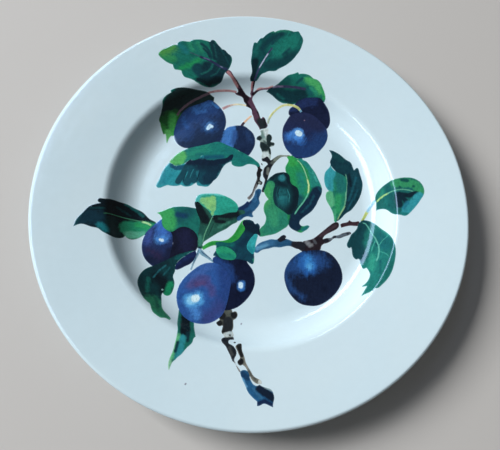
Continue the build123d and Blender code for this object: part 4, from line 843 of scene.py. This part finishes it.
def top_outlines(node):
    """The outlines, in plan, of what faces up on a CAD mark: outer ones anticlockwise, holes clockwise."""
    mesh = node.data
    points = np.array([v.co for v in mesh.vertices]) / MM
    keys = {}
    same = [keys.setdefault(tuple(np.round(p, 3)), len(keys)) for p in points]
    places = np.array(list(keys))
    facing_up = [[same[i] for i in face.vertices] for face in mesh.polygons if face.normal.z >= 0.2]
    after = {}
    for one, other in open_sides(facing_up):
        after.setdefault(one, []).append(other)
    outlines = []
    while after:
        start = next(iter(after))
        loop = [start]
        while True:
            choices = after[loop[-1]]
            following = choices.pop()
            if not choices:
                del after[loop[-1]]
            if following == start:
                break
            loop.append(following)
        if len(loop) > 2:
            outlines.append(places[loop][:, :2])
    return outlines


def resampled(outline, spacing):
    """An outline with its long sides divided and its crowded points thinned out."""
    kept = [outline[0]]
    for point in outline[1:]:
        if np.hypot(*(point - kept[-1])) > CROWDED:
            kept.append(point)
    points = []
    for one, other in zip(kept, kept[1:] + kept[:1]):
        pieces = max(1, math.ceil(np.hypot(*(other - one)) / spacing))
        points += [one + (other - one) * i / pieces for i in range(pieces)]
    return np.array(points)


def nearest(points, starts, ends):
    """For each point: distance to the nearest of some line segments, which one, and how far along it."""
    run = ends - starts
    length = np.maximum((run ** 2).sum(1), 1e-12)
    best = np.full(len(points), np.inf)
    which = np.zeros(len(points), int)
    share = np.zeros(len(points))
    for number in range(len(starts)):
        offset = points - starts[number]
        along = np.clip(offset @ run[number] / length[number], 0, 1)
        distance = np.hypot(*(offset - along[:, None] * run[number]).T)
        closer = distance < best
        best[closer] = distance[closer]
        which[closer] = number
        share[closer] = along[closer]
    return best, which, share


def inside(points, outlines):
    """Which points lie inside the outlines, by counting crossings."""
    odd = np.zeros(len(points), bool)
    for outline in outlines:
        for one, other in zip(outline, np.roll(outline, -1, axis=0)):
            if one[1] == other[1]:
                continue
            spans = (one[1] > points[:, 1]) != (other[1] > points[:, 1])
            crossing = one[0] + (points[:, 1] - one[1]) * (other[0] - one[0]) / (other[1] - one[1])
            odd ^= spans & (points[:, 0] < crossing)
    return odd


def filled(outlines):
    """Triangles over the area inside some outlines: places, triangles, and each side's start and end."""
    starts = np.concatenate(outlines)
    ends = np.concatenate([np.roll(o, -1, axis=0) for o in outlines])
    low = starts.min(0)
    high = starts.max(0)
    rows = np.arange(low[1], high[1], GRID_ROW)
    grid = np.array([(x + GRID_STEP / 2 * (number % 2), y) for number, y in enumerate(rows)
                     for x in np.arange(low[0], high[0], GRID_STEP)])
    shelf = (starts + ends) / 2 + left_of(starts, ends) * EDGE_ROUND
    shelf = shelf[inside(shelf, outlines)]
    shelf = shelf[nearest(shelf, starts, ends)[0] > SHELF_GAP]
    grid = grid[inside(grid, outlines)]
    grid = grid[nearest(grid, starts, ends)[0] > GRID_GAP]
    places = np.concatenate([starts, shelf, grid])
    sides = []
    first = 0
    for outline in outlines:
        sides += [(first + i, first + (i + 1) % len(outline)) for i in range(len(outline))]
        first += len(outline)
    made = delaunay_2d_cdt([Vector(p) for p in places], sides, [], 0, 1e-5, False)
    places = np.array([tuple(p) for p in made[0]])
    triangles = np.array(made[2])
    middles = places[triangles].mean(1)
    return places, triangles[inside(middles, outlines)], starts, ends


def store(thing, name, values):
    """Keeps one number per vertex, or three, for the material to read."""
    kind = "FLOAT" if values.ndim == 1 else "FLOAT_VECTOR"
    layer = thing.data.attributes.new(name, kind, "POINT")
    layer.data.foreach_set("value" if values.ndim == 1 else "vector", values.astype(np.float32).ravel())


def is_bare(starts, ends, others):
    """Which sides of an outline have bare glaze beside them and not another mark."""
    probes = (starts + ends) / 2 - left_of(starts, ends) * BARE_PROBE
    covered = np.zeros(len(probes), bool)
    for outlines in others:
        around = np.concatenate(outlines)
        near = (probes > around.min(0)).all(1) & (probes < around.max(0)).all(1)
        if near.any():
            covered[near] |= inside(probes[near], outlines)
    return ~covered


def paint_solid(name, outlines, others):
    """A thin closed skin of paint on the plate's face, rounded off where bare glaze is beside it."""
    places, triangles, starts, ends = filled(outlines)
    used = np.unique(triangles)
    renumber = np.zeros(len(places), int)
    renumber[used] = np.arange(len(used))
    places = places[used]
    count = len(places)
    faces = renumber[triangles].tolist()
    edge = nearest(places, starts, ends)[0]
    bare_sides = is_bare(starts, ends, others)
    bare = np.full(count, BARE_REACH)
    if bare_sides.any():
        bare = np.minimum(nearest(places, starts[bare_sides], ends[bare_sides])[0], BARE_REACH)
    ground = face_height(places[:, 0], places[:, 1])
    top = ground + PAINT_LIP + (PAINT_HEIGHT - PAINT_LIP) * smooth(bare / EDGE_ROUND)
    vertices = np.concatenate([np.column_stack([places, top]), np.column_stack([places, ground - PAINT_LIP])])
    sides = open_sides(faces)
    faces += [[corner + count for corner in reversed(face)] for face in faces]
    faces += [[other, one, one + count, other + count] for one, other in sides]
    piece = new_object(name, vertices, faces)
    piece.data.set_sharp_from_angle(angle=math.radians(SHARP_ANGLE))
    store(piece, "edge", np.concatenate([edge, edge]))
    store(piece, "bare", np.concatenate([bare, bare]))
    return piece, np.concatenate([places, places])


def stroke_depth(places, stroke):
    """How far inside a broad stroke each place is, in millimetres; negative outside."""
    points = stroke["points"]
    if len(points) == 1:
        distance = np.hypot(*(places - points[0]).T)
    else:
        distance = nearest(places, points[:-1], points[1:])[0]
    return stroke["width"] / 2 - distance


def vein_place(places, stroke):
    """Each place's signed distance across a thin line, and how far it is inside the line's ends."""
    points = stroke["points"]
    starts = points[:-1]
    run = points[1:] - starts
    lengths = np.hypot(*run.T)
    which, share = nearest(places, starts, points[1:])[1:]
    direction = run[which] / lengths[which][:, None]
    offset = places - starts[which]
    across = direction[:, 0] * offset[:, 1] - direction[:, 1] * offset[:, 0]
    past = (offset * direction).sum(1)
    before = np.concatenate([[0], np.cumsum(lengths)])
    along = before[which] + np.where((which == 0) | (which == len(starts) - 1), past, share * lengths[which])
    return np.stack([across, np.minimum(along, before[-1] - along), np.zeros(len(places))], 1)


def paint_material(name, recipe):
    """Ceramic colour under gloss: ground, washes with wandering edges, drawn lines, streaks and grain."""
    shader = Shader(name)
    blotch = shader.noise(4.5, detail=3, roughness=0.6)
    mottle = shader.noise(1.7, detail=4, roughness=0.65)
    grain = shader.noise(0.6, roughness=0.6)
    streak = shader.noise(1.1, detail=3, place=shader.along(recipe["heading"], 6.0))
    ground = linear(recipe["rgb"])
    colour = shader.mix(shader.ramp(blotch, -0.15, 0.2), ground, [0.8 * part for part in ground])
    for number, stroke in enumerate(recipe["strokes"]):
        if stroke["vein"]:
            parts = shader.add("ShaderNodeSeparateXYZ", {0: shader.stored(f"stroke_{number}", "Vector")})
            across = shader.number("ABSOLUTE", shader.total(parts.outputs[0], (mottle, 0.5)))
            depth = shader.number("SUBTRACT", stroke["width"] / 2, across)
            share = shader.number("MULTIPLY", shader.ramp(depth, -0.25, 0.25),
                                  shader.ramp(parts.outputs[1], -0.3, 1.4))
        else:
            soft = stroke["soft"]
            depth = shader.total(shader.stored(f"stroke_{number}"), (blotch, 0.9 * soft),
                                 (streak, 0.5 * soft), (mottle, 0.5 * soft + 0.4))
            share = shader.ramp(depth, -soft / 2, soft / 2)
        colour = shader.mix(share, colour, linear(stroke["rgb"]))
    # Darker blooms, then brush streaks and grain, a little darker again where colour pooled at an edge.
    bloom = shader.ramp(shader.total(blotch, (mottle, 0.6)), 0.05, 0.22, 0.0, 0.75)
    colour = shader.mix(bloom, colour, shader.times(colour, (0.5, 0.62, 0.7)))
    tone = shader.total(1.05, (streak, 0.55), (blotch, 0.55), (mottle, 0.95), (grain, 0.5))
    pool = shader.ramp(shader.number("ADD", shader.stored("edge"), mottle), 0.0, 1.0, 0.92, 1.0)
    tone = shader.number("MAXIMUM", shader.number("MULTIPLY", tone, pool), 0.3)
    colour = shader.scaled(colour, tone)
    # Where bare glaze is beside it the colour thins out, and at its very edge it is glaze.
    thin = shader.add("ShaderNodeGamma", {"Color": colour, "Gamma": 0.58}).outputs[0]
    bleed = shader.total(shader.stored("bare"), (grain, 0.3))
    colour = shader.mix(shader.ramp(shader.total(bleed, (mottle, 0.9)), -0.05, 0.75), thin, colour)
    colour = shader.mix(shader.ramp(bleed, -0.1, 0.16), linear(GLAZE_COLOUR), colour)
    return shader.finish({"Base Color": colour, "IOR": GLAZE_IOR, "Specular IOR Level": 0.35,
                          "Roughness": shader.ramp(grain, -0.25, 0.25, 0.07, 0.13)},
                         shader.number("ADD", grain, streak), 0.006)


def place_piece(piece, material, node=None):
    """Puts a piece on the plate's one body, in place of its CAD node if it has one."""
    piece.data.materials.append(material)
    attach(piece, ROOT)
    if node:
        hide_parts(node)


def paint_mark(name, recipe, all_outlines):
    """One mark of the painting in place of its CAD node."""
    others = [outlines for other, outlines in all_outlines.items() if other != name]
    piece, places = paint_solid("painted_" + name, all_outlines[name], others)
    for number, stroke in enumerate(recipe["strokes"]):
        measure = vein_place if stroke["vein"] else stroke_depth
        store(piece, f"stroke_{number}", measure(places, stroke))
    place_piece(piece, paint_material("paint_" + name, recipe), name)


def paint_specks(all_outlines):
    """Small spatters and one short dab of the twigs' colour beside them, which the CAD doesn't have."""
    dark = (40, 46, 54)
    faint = (124, 134, 152)
    turns = np.radians(np.arange(0, 360, 24))
    dabs = []
    for name, rgb, x, y in (("speck_foot", dark, -11.1, -86), ("speck_rim", faint, -37.9, -108.3),
                            ("speck_low", faint, -7.1, -74.7)):
        reach = 0.62 + 0.1 * np.sin(2 * turns + x) + 0.06 * np.sin(3 * turns + y)
        dabs.append((name, rgb, np.column_stack([x + reach * np.cos(turns), y + reach * np.sin(turns)])))
    dabs.append(("dab_centre", dark, [(6.1, 28.8), (7.1, 27.6), (7.3, 28.7), (6.5, 29.7)]))
    for name, rgb, points in dabs:
        outline = resampled(np.array(points, float), SPECK_STEP)
        piece = paint_solid("painted_" + name, [outline], list(all_outlines.values()))[0]
        place_piece(piece, paint_material("paint_" + name, {"rgb": rgb, "heading": 0, "strokes": []}))


# ---------------------------------------------------------------- the plate
ROOT = next(iter(frame["bodies"]))
SEGMENTS = 256
STAGE_SEGMENTS = 96


def build_plate():
    """The glaze coat, the glaze in the recess and the clay body, each in place of its CAD node."""
    glaze = glaze_material()
    coat_out = face_path(0, 4) + underside_path(0, 3) + [(FOOT_OUTER_RADIUS, GLAZE_STOP_HEIGHT)]
    coat_in = face_path(GLAZE_THICKNESS, 1) + underside_path(GLAZE_THICKNESS, 1)
    coat_in += [(FOOT_OUTER_RADIUS - GLAZE_THICKNESS, GLAZE_STOP_HEIGHT)]
    coat = turned("glazed_surface", coat_out + coat_in[::-1], SEGMENTS, uneven=True)
    recess_out = recess_path(0, 3)
    recess_in = recess_path(GLAZE_THICKNESS, 1)
    recess = turned("glazed_foot_recess", recess_in[::-1] + recess_out, SEGMENTS)
    clay_loop = face_path(GLAZE_THICKNESS, 1) + underside_path(GLAZE_THICKNESS, 1) + foot_path()
    clay = turned("fired_clay_body", clay_loop + recess_path(GLAZE_THICKNESS, 1), SEGMENTS)
    for piece, node, material, slot in (
            (coat, "glaze_coat", glaze, "glaze"),
            (recess, "foot_recess_glaze", glaze, "glaze"),
            (clay, "clay_body", clay_material(), "fired_clay")):
        place_piece(piece, material, node)


# ---------------------------------------------------------------- the studio
def toward(azimuth, elevation):
    """The unit direction at an azimuth from +X and an elevation, in degrees."""
    azimuth, elevation = math.radians(azimuth), math.radians(elevation)
    return Vector((math.cos(azimuth) * math.cos(elevation), math.sin(azimuth) * math.cos(elevation),
                   math.sin(elevation)))


def stage_piece(name, path, glow=0.0, glow_height=1.0):
    """A pale surface round the plate that itself glows faintly, fully from a height up."""
    pale = linear((196, 194, 191))
    shader = Shader(name)
    shader.fill(shader.surface, {"Base Color": pale, "Roughness": 0.75})
    # Painted light: the backdrop is no lamp, yet it glows, from nothing at the floor to full strength a
    # height up.
    if glow:
        height = shader.add("ShaderNodeSeparateXYZ", {0: shader.place}).outputs[2]
        strength = shader.ramp(height, 0, glow_height, 0.0, glow)
        shader.fill(shader.surface, {"Emission Color": pale, "Emission Strength": strength})
    piece = turned(name, path[::-1], STAGE_SEGMENTS, closed=False)
    piece.data.materials.append(shader.material)
    return piece


def build_stage():
    """A pale floor and, all round it, a backdrop that curves up from it and glows faintly with painted light
    of its own.

    The backdrop is only a background: it neither lights the plate, shades it nor is mirrored in its gloss.
    """
    flat = 1300
    bend = 600
    wall = 800
    stage_piece("floor", line((1, 0), (flat, 0), 12) + [(flat, 0)])
    outside = arc(on_hollow, (flat, bend), bend, 0, 90, 16)
    outside += line((flat + bend, bend), (flat + bend, bend + wall), 8)
    backdrop = stage_piece("backdrop", outside, glow=0.16, glow_height=bend)
    backdrop.visible_diffuse = False
    backdrop.visible_glossy = False
    backdrop.visible_shadow = False


def area_light(name, centre, length, width, heading, power, colour=(1, 1, 1)):
    """A soft rectangular light that faces the plate, its long side along a plan heading in degrees."""
    lamp = bpy.data.lights.new(name, "AREA")
    lamp.shape = "RECTANGLE"
    lamp.size = length
    lamp.size_y = width
    lamp.energy = power
    lamp.color = colour
    thing = bpy.data.objects.new(name, lamp)
    back = Vector(centre).normalized()
    side = Vector((math.cos(math.radians(heading)), math.sin(math.radians(heading)), 0))
    side = (side - back * side.dot(back)).normalized()
    thing.matrix_world = Matrix((side, back.cross(side), back)).transposed().to_4x4()
    thing.location = centre
    thing.visible_camera = False
    bpy.context.scene.collection.objects.link(thing)
    return thing


def build_lights():
    """A soft window at the upper left, its two reflections in the gloss, and even light all round."""
    window = area_light("window", toward(157, 36) * 4.0, length=2.0, width=1.6, heading=67, power=226)
    window.visible_glossy = False
    sky = (0.5, 0.7, 1.0)
    for name, centre, length, power in (
            ("window_reflection", (-0.58, 0.636, 1.5), 1.5, 26),
            ("window_reflection_far_pane", (-1.01, -0.224, 1.5), 0.22, 3.8)):
        pane = area_light(name, centre, length, width=0.34, heading=63, power=power, colour=sky)
        pane.visible_diffuse = False
    world = bpy.data.worlds.new("studio")
    world.use_nodes = True
    background = world.node_tree.nodes["Background"]
    background.inputs["Color"].default_value = (1, 1, 1, 1)
    background.inputs["Strength"].default_value = 0.112
    bpy.context.scene.world = world


def build_camera():
    """Looks down at the plate from its lower side, turned a little, from about an arm's length."""
    target = Vector((-1.0, -11.0, 0.0)) * MM
    swing = 9.71
    back = toward(-90 - swing, 72.08)
    distance = 322 * MM
    lens = bpy.data.cameras.new("camera")
    lens.lens = 36
    lens.sensor_width = 36
    lens.clip_start = 0.01
    camera = bpy.data.objects.new("camera", lens)
    camera.location = target + back * distance
    turn = back.to_track_quat("Z", "Y").to_matrix().to_4x4()
    turn = turn @ turn.Rotation(math.radians(swing), 4, "Z")
    camera.rotation_euler = turn.to_euler()
    bpy.context.scene.collection.objects.link(camera)
    bpy.context.scene.camera = camera
    bpy.context.scene.view_settings.view_transform = "Standard"


build_camera()
build_lights()
build_stage()
build_plate()
mark_outlines = {name: [resampled(outline, OUTLINE_STEP) for outline in top_outlines(frame["nodes"][name])]
                 for name in MARKS}
for mark_name, mark_recipe in MARKS.items():
    paint_mark(mark_name, mark_recipe, mark_outlines)
paint_specks(mark_outlines)
